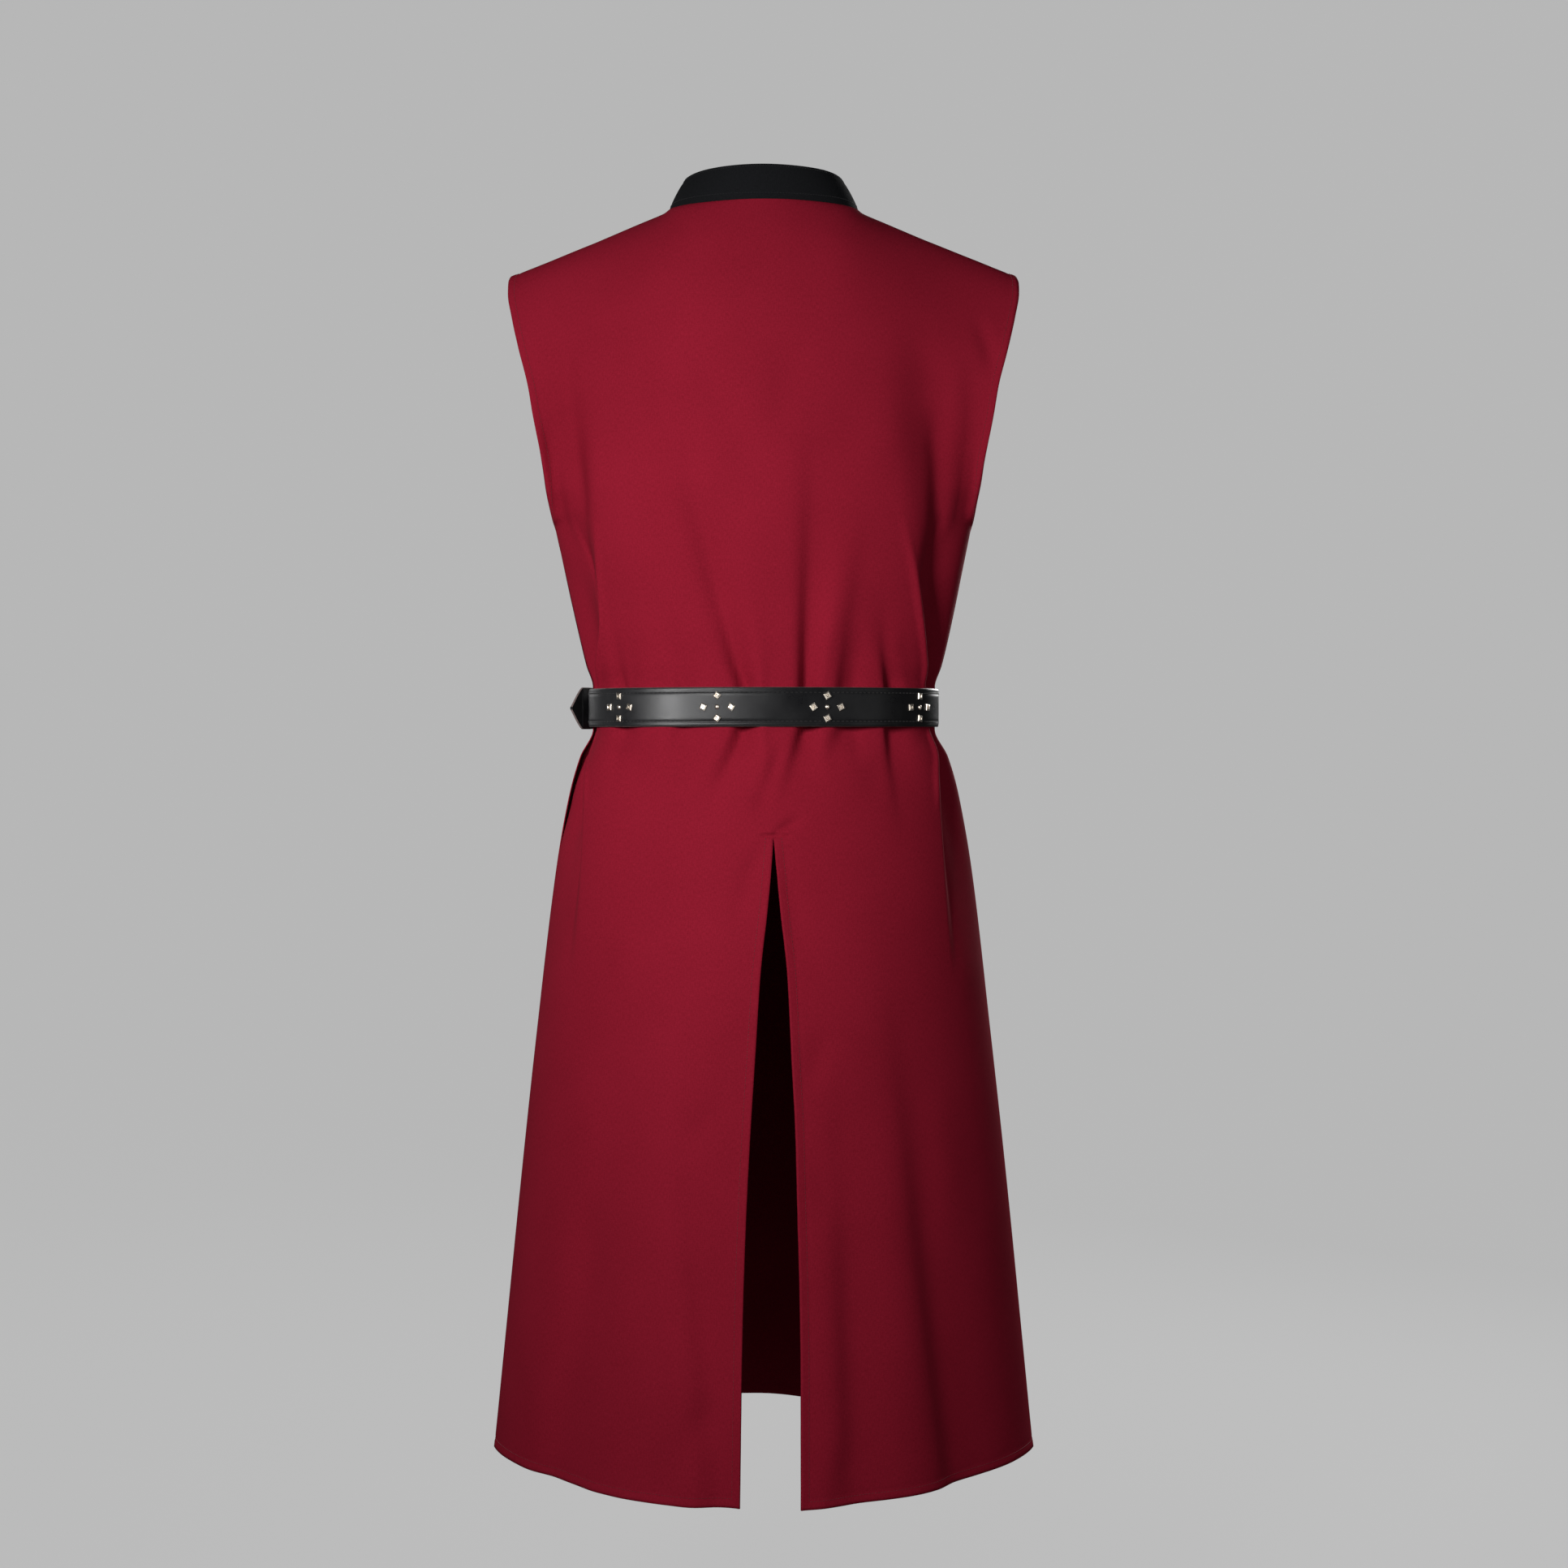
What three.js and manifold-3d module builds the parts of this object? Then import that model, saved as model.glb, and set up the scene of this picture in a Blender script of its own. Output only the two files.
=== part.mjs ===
// A knight's tabard in the form that it takes when it is worn: a red front and back, a black band
// collar and a studded leather belt. Units are millimetres and +Z is up. +X is the wearer's left,
// and the front faces -Y. The origin is where the shoulders carry it, level with the neck's sides.

import * as THREE from "three";
import { mergeVertices } from "three/addons/utils/BufferGeometryUtils.js";
import Module from "manifold-3d";

const wasm = await Module();
wasm.setup();

// ---------------------------------------------------------------- driving dimensions

const SEAM = 0.3; // between pieces that are sewn together or lie on each other
const CLOTH = 2; // wall of the tabard
const UNDERARM_Z = -332;
const HEM_Z = -1306;

const NECK = {
  half: 101.6, // half the neck's width at the seam
  back: 84, // from the shoulder line to the nape
  front: 100, // and to the pit of the neck
  backDip: 2.5,
  frontDip: 68,
  share: 0.4, // of a panel's half width that the neckline takes at the top
};
const SHOULDER = { x: 267, z: -66 }; // its outer end
const SHOULDER_ROUND = 0.35; // share of the yoke's drop that rolls over the shoulder

const COLLAR = { wall: 2.4, topHalf: 84, topBack: 76, topFront: 87, rise: 34, frontDip: 60 };
const FRONT_SLIT = { half: 1.6, bottomZ: -218, bottomHalf: 0.6 }; // its edges nearly meet

const WAIST = { z: -524, half: 182, back: 120, front: 126 }; // the cloth under the belt
const STRAP = { height: 40, thick: 3.2, tip: 17, flare: 2.4 }; // flare widens the free end
const STUD = { pitch: 113, firstAt: 47.5, armAcross: 14.5, armUp: 11.5 };

// ---------------------------------------------------------------- tables of the form

// How far the middle of the back and of the front stands off the plane of the side seams.
const spine = [
  { z: 0, back: NECK.back, front: 84 },
  { z: -40, back: 101, front: 94 },
  { z: -68, back: 108, front: NECK.front },
  { z: -110, back: 115, front: 116 },
  { z: -200, back: 122, front: 129 },
  { z: -332, back: 125, front: 133 },
  { z: -440, back: 125, front: 132 },
  { z: -488, back: 121, front: 127.5 },
  { z: -502, back: WAIST.back, front: WAIST.front },
  { z: -546, back: WAIST.back, front: WAIST.front },
  { z: -575, back: 129, front: 134 },
  { z: -640, back: 145, front: 147 },
  { z: -750, back: 161, front: 158 },
  { z: -900, back: 178, front: 172 },
  { z: -1100, back: 201, front: 190 },
  { z: HEM_Z, back: 220, front: 205 },
];

// Half width of the closed body under the arms, and how pointed its sides are: 1 is an ellipse.
const sides = [
  { z: UNDERARM_Z, half: 221, point: 0.9 },
  { z: -376, half: 212, point: 0.9 },
  { z: -419, half: 203, point: 0.92 },
  { z: -479, half: 189, point: 0.96 },
  { z: -502, half: WAIST.half, point: 1 },
  { z: -546, half: WAIST.half, point: 1 },
  { z: -575, half: 195.5, point: 1.02 },
  { z: -616, half: 207, point: 1.08 },
  { z: -703, half: 222, point: 1.2 },
  { z: -858, half: 240, point: 1.33 },
  { z: -1065, half: 262, point: 1.43 },
  { z: HEM_Z, half: 286, point: 1.5 },
];

// The armhole's edge, from the end of the shoulder down to the side seam: y is how far each
// panel's edge stands off the side seams' plane, and wider what the edge alone has more of it.
const armhole = [
  { z: SHOULDER.z, x: SHOULDER.x, y: 0, wider: 0 },
  { z: -69, x: 267.6, y: 9, wider: 0 },
  { z: -76, x: 268.7, y: 19, wider: 0 },
  { z: -90, x: 268, y: 31, wider: 0 },
  { z: -115, x: 263, y: 44, wider: 0 },
  { z: -152, x: 254, y: 57, wider: 0 },
  { z: -190, x: 244, y: 63, wider: 0 },
  { z: -220, x: 239, y: 62, wider: 0 },
  { z: -269, x: 230, y: 45, wider: 4.5 },
  { z: -300, x: 226, y: 28, wider: 8 },
  { z: -316, x: 223.5, y: 13.5, wider: 10 },
  { z: -326, x: 221.9, y: 5.3, wider: 8.5 },
  { z: UNDERARM_Z, x: 221, y: 0, wider: 0 },
];

// The deep fold that the belt makes down each side of a panel: the share of the half width at
// which it drops away, on the left and right as seen from outside, and its depth.
const sideFold = [
  { z: -150, left: 0.5, right: 0.42, depth: 0 },
  { z: -215, left: 0.54, right: 0.43, depth: 5 },
  { z: -314, left: 0.58, right: 0.455, depth: 10 },
  { z: -381, left: 0.615, right: 0.54, depth: 14 },
  { z: -440, left: 0.655, right: 0.635, depth: 17 },
  { z: -504, left: 0.8, right: 0.755, depth: 16 },
  { z: -545, left: 0.85, right: 0.8, depth: 15 },
  { z: -604, left: 0.73, right: 0.7, depth: 13 },
  { z: -695, left: 0.645, right: 0.64, depth: 7 },
  { z: -800, left: 0.62, right: 0.615, depth: 0 },
];

// The edges of the slit in the back of the skirt.
const backSlit = [
  { z: -655, left: -11, right: -11 },
  { z: -694, left: -8, right: -15 },
  { z: -726, left: -5, right: -18 },
  { z: -790, left: 2, right: -25 },
  { z: -869, left: 7, right: -29 },
  { z: -948, left: 12, right: -33 },
  { z: -1026, left: 16, right: -35 },
  { z: -1104, left: 19, right: -37 },
  { z: -1182, left: 21, right: -38 },
  { z: HEM_Z, left: 23, right: -38 },
];

// Gathers at the belt. x is where each trough passes under the belt, on the panel as it is seen
// from outside, and it fades out at upX, upReach above the belt, and at downX, downReach below.
const gathers = {
  back: [
    { x: 20, depth: 11, width: 11, upX: 84, upReach: 260, downX: 44, downReach: 85 },
    { x: -45, depth: 14, width: 12, upX: -60, upReach: 340, downX: -24, downReach: 90 },
    { x: -88, depth: 9, width: 20, upX: -132, upReach: 240, downX: -70, downReach: 60 },
    { x: -134, depth: 9, width: 12, upX: -130, upReach: 120, downX: -152, downReach: 130 },
    { x: 146, depth: 8, width: 12, upX: 166, upReach: 150, downX: 150, downReach: 80 },
    { x: 82, depth: 6, width: 12, upX: 112, upReach: 120, downX: 90, downReach: 60 },
  ],
  front: [
    { x: 34, depth: 10, width: 10, upX: 70, upReach: 210, downX: 52, downReach: 80 },
    { x: -30, depth: 9, width: 10, upX: -62, upReach: 240, downX: -44, downReach: 90 },
    { x: 92, depth: 6, width: 12, upX: 118, upReach: 150, downX: 104, downReach: 70 },
    { x: -88, depth: 7, width: 12, upX: -112, upReach: 160, downX: -96, downReach: 80 },
    { x: 138, depth: 5, width: 10, upX: 150, upReach: 110, downX: 150, downReach: 90 },
    { x: -136, depth: 5, width: 10, upX: -152, upReach: 120, downX: -146, downReach: 80 },
  ],
};

// Long soft folds of the skirt, which deepen from topZ to the hem.
const skirtFolds = {
  back: [
    { topX: 120, hemX: 214, topZ: -760, depth: 9, width: 26 },
    { topX: 82, hemX: 40, topZ: -800, depth: 12, width: 26 },
    { topX: -80, hemX: -100, topZ: -820, depth: 9, width: 24 },
    { topX: -130, hemX: -205, topZ: -700, depth: 11, width: 30 },
  ],
  front: [
    { topX: 130, hemX: 208, topZ: -740, depth: 10, width: 28 },
    { topX: 38, hemX: 62, topZ: -700, depth: 12, width: 28 },
    { topX: -46, hemX: -78, topZ: -780, depth: 12, width: 28 },
    { topX: -126, hemX: -196, topZ: -720, depth: 9, width: 28 },
  ],
};

// ---------------------------------------------------------------- small tools

const HALF_PI = Math.PI / 2;
const mix = (a, b, t) => a + (b - a) * t;
const clamp01 = (t) => Math.min(1, Math.max(0, t));

function smooth(from, to, value) {
  const t = clamp01((value - from) / (to - from));
  return t * t * (3 - 2 * t);
}

// One column of a table at height z, smooth and without overshoot between the rows.
function along(table, column, z) {
  const last = table.length - 1;
  if (z >= table[0].z) return table[0][column];
  if (z <= table[last].z) return table[last][column];
  const low = table.findIndex((row) => row.z < z) - 1;
  const step = (k) => table[k + 1].z - table[k].z;
  const slope = (k) => (table[k + 1][column] - table[k][column]) / step(k);
  const tangent = (k) => {
    if (k === 0) return slope(0);
    if (k === last) return slope(last - 1);
    const [before, after] = [slope(k - 1), slope(k)];
    return before * after > 0 ? (2 * before * after) / (before + after) : 0;
  };
  const t = (z - table[low].z) / step(low);
  const [t2, t3] = [t * t, t * t * t];
  return (
    table[low][column] * (2 * t3 - 3 * t2 + 1) +
    table[low + 1][column] * (3 * t2 - 2 * t3) +
    step(low) * (tangent(low) * (t3 - 2 * t2 + t) + tangent(low + 1) * (t3 - t2))
  );
}

// A geometry from points and triangles.
function geometryOf(points, triangles) {
  return new THREE.BufferGeometry()
    .setAttribute("position", new THREE.Float32BufferAttribute(points.flat(), 3))
    .setIndex(triangles);
}

// Unit normals of a grid of points, on the side from which its rows run down and its columns
// run to the left.
function gridNormals(grid) {
  const vector = (from, to) => new THREE.Vector3(...to).sub(new THREE.Vector3(...from));
  return grid.map((row, j) =>
    row.map((_, i) => {
      const across = vector(row[Math.max(i - 1, 0)], row[Math.min(i + 1, row.length - 1)]);
      const up = grid[Math.max(j - 1, 0)][i];
      const down = grid[Math.min(j + 1, grid.length - 1)][i];
      return across.cross(vector(up, down)).normalize();
    }),
  );
}

// Every point of a grid moved along its normal by a distance, or by distance(j, i).
function moved(grid, normals, distance) {
  return grid.map((row, j) =>
    row.map((point, i) => {
      const far = typeof distance === "function" ? distance(j, i) : distance;
      return normals[j][i].clone().multiplyScalar(far).add(new THREE.Vector3(...point)).toArray();
    }),
  );
}

// A closed wall between an outer and an inner grid.
function wallBetween(outer, inner) {
  const [rows, columns] = [outer.length, outer[0].length];
  const out = (j, i) => j * columns + i;
  const inn = (j, i) => rows * columns + j * columns + i;
  const triangles = [];
  const quad = (a, b, c, d) => triangles.push(a, b, c, a, c, d);
  for (let j = 0; j < rows - 1; j++) {
    for (let i = 0; i < columns - 1; i++) {
      quad(out(j, i), out(j, i + 1), out(j + 1, i + 1), out(j + 1, i));
      quad(inn(j, i), inn(j + 1, i), inn(j + 1, i + 1), inn(j, i + 1));
    }
    const end = columns - 1;
    quad(out(j, 0), out(j + 1, 0), inn(j + 1, 0), inn(j, 0));
    quad(out(j, end), inn(j, end), inn(j + 1, end), out(j + 1, end));
  }
  for (let i = 0; i < columns - 1; i++) {
    const end = rows - 1;
    quad(out(0, i), inn(0, i), inn(0, i + 1), out(0, i + 1));
    quad(out(end, i), out(end, i + 1), inn(end, i + 1), inn(end, i));
  }
  return geometryOf([...outer.flat(), ...inner.flat()], triangles);
}

// A closed bar through sections of the same number of points, each turning the same way.
function barThrough(sections) {
  const size = sections[0].length;
  const triangles = [];
  for (let k = 0; k < sections.length - 1; k++) {
    for (let i = 0; i < size; i++) {
      const [a, b] = [k * size + i, k * size + ((i + 1) % size)];
      triangles.push(a, b, b + size, a, b + size, a + size);
    }
  }
  const end = (sections.length - 1) * size;
  for (let i = 1; i < size - 1; i++) {
    triangles.push(0, i + 1, i);
    triangles.push(end, end + i, end + i + 1);
  }
  return geometryOf(sections.flat(), triangles);
}

function solidOf(geometry) {
  const bare = geometry.clone();
  bare.deleteAttribute("normal");
  bare.deleteAttribute("uv");
  const merged = mergeVertices(bare, 1e-4);
  const vertProperties = new Float32Array(merged.attributes.position.array);
  const triVerts = new Uint32Array(merged.index.array);
  return new wasm.Manifold(new wasm.Mesh({ numProp: 3, vertProperties, triVerts }));
}

function geometryFrom(solid) {
  const mesh = solid.getMesh();
  const place = new THREE.BufferAttribute(new Float32Array(mesh.vertProperties), 3);
  return new THREE.BufferGeometry()
    .setAttribute("position", place)
    .setIndex(new THREE.BufferAttribute(new Uint32Array(mesh.triVerts), 1));
}

// A prism over an outline of [x, z] points, from one y to another.
function prismAcross(outline, fromY, toY) {
  const shape = new THREE.Shape(outline.map(([x, z]) => new THREE.Vector2(x, z)));
  const options = { depth: toY - fromY, bevelEnabled: false };
  return new THREE.ExtrudeGeometry(shape, options).rotateX(HALF_PI).translate(0, toY, 0);
}

// ---------------------------------------------------------------- front and back panels

const COLUMNS = 40;
const NECK_STEP = HALF_PI / ((COLUMNS / 2) * NECK.share);

// The neckline at an angle from the middle of the back (0) to the middle of the front (PI). It
// is straight between the panels' columns, so that the collar lies against it.
function neckPoint(angle) {
  const step = Math.floor(angle / NECK_STEP + 1e-6);
  const [from, to] = [step, step + 1].map((k) => {
    const c = Math.cos(k * NECK_STEP);
    const [depth, dip] = c > 0 ? [NECK.back, NECK.backDip] : [NECK.front, NECK.frontDip];
    return new THREE.Vector3(NECK.half * Math.sin(k * NECK_STEP), depth * c, -dip * c * c);
  });
  return from.lerp(to, angle / NECK_STEP - step).toArray();
}

// The panel's top edge in the panel's own frame, in which y points out of the panel: the
// neckline, and then the shoulder seam.
function topEdge(name, side) {
  if (side < NECK.share) {
    const angle = (HALF_PI * side) / NECK.share;
    const [x, y, z] = neckPoint(name === "back" ? angle : Math.PI - angle);
    return { x, y: Math.abs(y), z };
  }
  const t = (side - NECK.share) / (1 - NECK.share);
  return { x: mix(NECK.half, SHOULDER.x, t), y: 0, z: SHOULDER.z * t };
}

// A point of the panel between the shoulder and the underarm, at share t of the drop.
function yokePoint(name, side, t) {
  const [top, middleTop] = [topEdge(name, side), topEdge(name, 0)];
  const armZ = mix(SHOULDER.z, UNDERARM_Z, t);
  const [edgeX, edgeY] = [along(armhole, "x", armZ), along(armhole, "y", armZ)];
  const under = along(sides, "half", UNDERARM_Z);
  const edgeDrift = (edgeX - SHOULDER.x) / (under - SHOULDER.x);
  const drift = mix(t, edgeDrift, smooth(NECK.share, 1, side));
  const middleY = along(spine, name, mix(middleTop.z, UNDERARM_Z, t));

  const open = 1 - Math.sin(HALF_PI * side) ** 2.2;
  const closed = Math.cos(HALF_PI * side) ** along(sides, "point", UNDERARM_Z);
  const body = mix(open, closed, smooth(0.6, 1, t));
  const down = clamp01(t / SHOULDER_ROUND);
  const roll = Math.sqrt(1 - (1 - down) ** 2);
  // The neckline's corner at the shoulder seam softens on the way down.
  const within = clamp01(side / (NECK.share + 0.4 * down));
  const neck = Math.cos(HALF_PI * within) ** (1 + 0.9 * clamp01(4 * down));
  const wider = along(armhole, "wider", armZ) * smooth(0.86, 1, side);
  return {
    x: mix(top.x, under * Math.sin(HALF_PI * side), drift),
    y: mix(edgeY, middleY, mix(neck, body, roll)) + wider,
    z: mix(top.z, UNDERARM_Z, t),
  };
}

// A point of the closed body at height z.
function bodyPoint(name, side, z) {
  const depth = along(spine, name, z) * Math.cos(HALF_PI * side) ** along(sides, "point", z);
  return { x: along(sides, "half", z) * Math.sin(HALF_PI * side), y: depth, z };
}

// How far the belt's gathers and the folds move the cloth outwards, which is always inwards or
// nothing, at a point of the panel with share u of its half width.
function foldAt(name, u, x, z) {
  const side = Math.abs(u);
  const [beltTop, beltBottom] = [WAIST.z + STRAP.height / 2, WAIST.z - STRAP.height / 2];
  const edge = along(sideFold, u > 0 ? "left" : "right", z);
  const across = (side - edge) / (1 - edge);
  const groove = smooth(0, 0.3, across) * (1 - smooth(0.45, 1, across));
  let fold = -along(sideFold, "depth", z) * groove;
  for (const g of gathers[name]) {
    const above = clamp01((z - beltTop) / g.upReach);
    const below = clamp01((beltBottom - z) / g.downReach);
    const away = Math.max(above, below);
    const middle = mix(g.x, above > 0 ? g.upX : g.downX, away);
    const width = g.width * (1 + 2 * away);
    fold -= g.depth * (1 - away) ** 1.3 * Math.exp(-(((x - middle) / width) ** 2));
  }
  for (const f of skirtFolds[name]) {
    const t = clamp01((z - f.topZ) / (HEM_Z - f.topZ));
    const middle = mix(f.topX, f.hemX, t);
    fold -= f.depth * smooth(0, 0.8, t) * Math.exp(-(((x - middle) / f.width) ** 2));
  }
  return fold;
}

const ROLL_STEPS = 5;
const YOKE_SHARES = [
  ...Array.from(
    { length: ROLL_STEPS + 1 },
    (_, k) => SHOULDER_ROUND * (1 - Math.cos((HALF_PI * k) / ROLL_STEPS)),
  ),
  0.5,
  0.67,
  0.82,
  0.92,
  0.975,
  1,
];
const BODY_LEVELS = [
  -370, -406, -437, -462, -482, -495, -504, -524, -544, -553, -567, -588, -615, -650, -695,
  -750, -820, -900, -985, -1070, -1155, -1235, HEM_Z,
];

// The outer points of a panel: rows from the shoulder to the hem, columns from side to side.
function panelWall(name) {
  const shares = Array.from({ length: COLUMNS + 1 }, (_, i) => (2 * i) / COLUMNS - 1);
  const lay = (place, u) => [Math.sign(u) * place.x, Math.max(place.y, SEAM / 2), place.z];
  const plain = [
    ...YOKE_SHARES.map((t) => shares.map((u) => lay(yokePoint(name, Math.abs(u), t), u))),
    ...BODY_LEVELS.map((z) => shares.map((u) => lay(bodyPoint(name, Math.abs(u), z), u))),
  ];
  // On a seam the wall is square to the seam's plane.
  const square = (normals) =>
    normals.map((row, j) =>
      row.map((n, i) => {
        const onShoulder = j === 0 && Math.abs(shares[i]) > NECK.share - 1e-6;
        const onSide = j >= YOKE_SHARES.length - 1 && Math.abs(shares[i]) === 1;
        return onShoulder || onSide ? n.clone().setY(0).normalize() : n;
      }),
    );
  const fold = (j, i) => foldAt(name, shares[i], plain[j][i][0], plain[j][i][2]);
  const outer = moved(plain, square(gridNormals(plain)), fold);
  const inner = moved(outer, square(gridNormals(outer)), -CLOTH);
  return wallBetween(outer, inner);
}

function backPanel() {
  const past = HEM_Z - 20;
  const hem = backSlit.at(-1);
  const outline = [
    ...backSlit.map((row) => [row.right, row.z]),
    [hem.right, past],
    [hem.left, past],
    ...backSlit.slice(1).reverse().map((row) => [row.left, row.z]),
  ];
  const gap = solidOf(prismAcross(outline, 60, 300));
  return geometryFrom(solidOf(panelWall("back")).subtract(gap));
}

function frontPanel() {
  const above = -NECK.frontDip + 20;
  const outline = [
    [-FRONT_SLIT.bottomHalf, FRONT_SLIT.bottomZ],
    [FRONT_SLIT.bottomHalf, FRONT_SLIT.bottomZ],
    [FRONT_SLIT.half, -NECK.frontDip],
    [FRONT_SLIT.half, above],
    [-FRONT_SLIT.half, above],
    [-FRONT_SLIT.half, -NECK.frontDip],
  ];
  const wall = solidOf(panelWall("front").rotateZ(Math.PI));
  return geometryFrom(wall.subtract(solidOf(prismAcross(outline, -200, -60))));
}

// ---------------------------------------------------------------- collar

function collarTop(angle) {
  const c = Math.cos(angle);
  const depth = c > 0 ? COLLAR.topBack : COLLAR.topFront;
  const dip = c > 0 ? -2 : COLLAR.frontDip;
  return [COLLAR.topHalf * Math.sin(angle), depth * c, COLLAR.rise - dip * c * c];
}

// A band that stands on the neckline and leans in, open down the middle of the front.
function collar() {
  const rows = [1, 0.5, 0];
  const steps = Math.round(Math.PI / NECK_STEP);
  const end = Math.PI - Math.asin(FRONT_SLIT.half / NECK.half);
  const columns = Array.from({ length: 2 * steps + 1 }, (_, i) =>
    Math.min(end, Math.max(-end, (i - steps) * NECK_STEP)),
  );
  const pointAt = (share, angle) => {
    const [low, high] = [new THREE.Vector3(...neckPoint(angle)), new THREE.Vector3(...collarTop(angle))];
    const up = high.clone().sub(low);
    low.addScaledVector(up.clone().normalize(), SEAM);
    return low.lerp(high, share).toArray();
  };
  const outer = rows.map((share) => columns.map((angle) => pointAt(share, angle)));
  return wallBetween(outer, moved(outer, gridNormals(outer), -COLLAR.wall));
}

// ---------------------------------------------------------------- belt

// The place at an angle round the waist, at a level above the cloth: 0 is the middle of the
// back, PI / 2 the wearer's left and PI the middle of the front.
function waistPlace(angle, level) {
  const depth = Math.cos(angle) > 0 ? WAIST.back : WAIST.front;
  const out = new THREE.Vector3(depth * Math.sin(angle), WAIST.half * Math.cos(angle), 0);
  const place = new THREE.Vector3(WAIST.half * Math.sin(angle), depth * Math.cos(angle), WAIST.z);
  return place.addScaledVector(out.normalize(), level);
}

// A frame that stands on the strap: X runs round the waist to the wearer's left of the back, Y
// points out and Z up.
function waistFrame(angle, level) {
  const place = waistPlace(angle, level);
  const out = waistPlace(angle, level + 1).sub(place);
  const up = new THREE.Vector3(0, 0, 1);
  return new THREE.Matrix4()
    .makeBasis(out.clone().cross(up), out, up)
    .setPosition(place);
}

const BASE_LEVEL = SEAM; // the strap's inner face where it lies on the cloth
const STRAP_TOP = BASE_LEVEL + STRAP.thick;
const OVERLAP_LEVEL = STRAP_TOP + SEAM + 0.1; // and where it lies on itself
const BUCKLE = { barX: 19, tongueBarX: -17, rod: 2, corner: 2.4, barLevel: 4.2, tongueLevel: 5.8 };
BUCKLE.armZ = STRAP.height / 2 + 0.4 + BUCKLE.rod;
const EYE = { inner: BUCKLE.rod + SEAM, outer: BUCKLE.rod + SEAM + 1.6, slot: 3.5 };
const OVER_EYE = BUCKLE.barLevel + EYE.outer + SEAM;
const PRONG = { half: 1.6, thick: 2.2 };

// The angle at distance x to the wearer's left of the middle of the front.
const frontAngle = (x) => Math.PI - Math.asin(x / WAIST.half);

// The level of the strap's free end at distance x past the middle of the front: it comes from
// under the frame's open side, climbs over the bar and lies down on the strap's other end.
function freeLevel(x) {
  if (x < BUCKLE.barX) return mix(BASE_LEVEL, OVER_EYE, smooth(-9, 13, x));
  return mix(OVER_EYE, OVERLAP_LEVEL, smooth(25, 62, x));
}

// The middle line of the strap's inner face, from the buckle's bar round the wearer's left side
// and back, through the buckle and on to the tip, which stands off the waist.
function strapLine() {
  const line = [];
  const start = frontAngle(BUCKLE.barX + EYE.inner + 0.3);
  const turnSteps = 76;
  const leave = (-235 * Math.PI) / 180;
  const meet = -frontAngle(20);
  for (let k = 0; k <= turnSteps; k++) {
    line.push(waistPlace(mix(start, meet, k / turnSteps), BASE_LEVEL));
  }
  for (let x = -18; x <= 64; x += 2) line.push(waistPlace(frontAngle(x), freeLevel(x)));
  const last = frontAngle(64) - 2 * Math.PI;
  const restSteps = 12;
  for (let k = 1; k <= restSteps; k++) {
    line.push(waistPlace(mix(last, leave, k / restSteps), OVERLAP_LEVEL));
  }
  const heading = line.at(-1).clone().sub(line.at(-2)).normalize();
  const turn = new THREE.Vector3(0, 0, 1);
  for (const step of [12, 14, 14, 13, 10, 4, 4, 3, 3, 3]) {
    heading.applyAxisAngle(turn, 0.016);
    line.push(line.at(-1).clone().addScaledVector(heading, step));
  }
  return line;
}

function strapHalfHeight(left) {
  const full = STRAP.height / 2 + STRAP.flare * smooth(60, 25, left);
  const t = clamp01(left / STRAP.tip);
  return 1.5 + (full - 1.5) * (1 - (1 - t) ** 1.25);
}

function strap() {
  const line = strapLine();
  const lengths = [0];
  for (let k = 1; k < line.length; k++) {
    lengths.push(lengths[k - 1] + line[k].distanceTo(line[k - 1]));
  }
  const sections = line.map((place, k) => {
    const ahead = line[Math.min(k + 1, line.length - 1)].clone();
    const heading = ahead.sub(line[Math.max(k - 1, 0)]).normalize();
    const out = new THREE.Vector3(heading.y, -heading.x, 0);
    const half = strapHalfHeight(lengths.at(-1) - lengths[k]);
    return [
      [0, -half],
      [0, half],
      [STRAP.thick, half],
      [STRAP.thick, -half],
    ].map(([level, z]) => {
      const corner = place.clone().addScaledVector(out, level);
      return corner.setZ(WAIST.z + z).toArray();
    });
  });
  return barThrough(sections);
}

// The frame of the buckle's parts, which stands on the cloth in the middle of the front: X is
// the wearer's left, Y points in and Z up.
const atFront = (geometry) => geometry.translate(0, -WAIST.front, WAIST.z);

// A hollow rod along Z, as an n-sided tube.
function tubeUp(inner, outer, fromZ, toZ) {
  const profile = [
    [inner, fromZ],
    [outer, fromZ],
    [outer, toZ],
    [inner, toZ],
    [inner, fromZ],
  ].map(([r, z]) => new THREE.Vector2(r, z));
  return new THREE.LatheGeometry(profile, 16).rotateX(HALF_PI);
}

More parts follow.
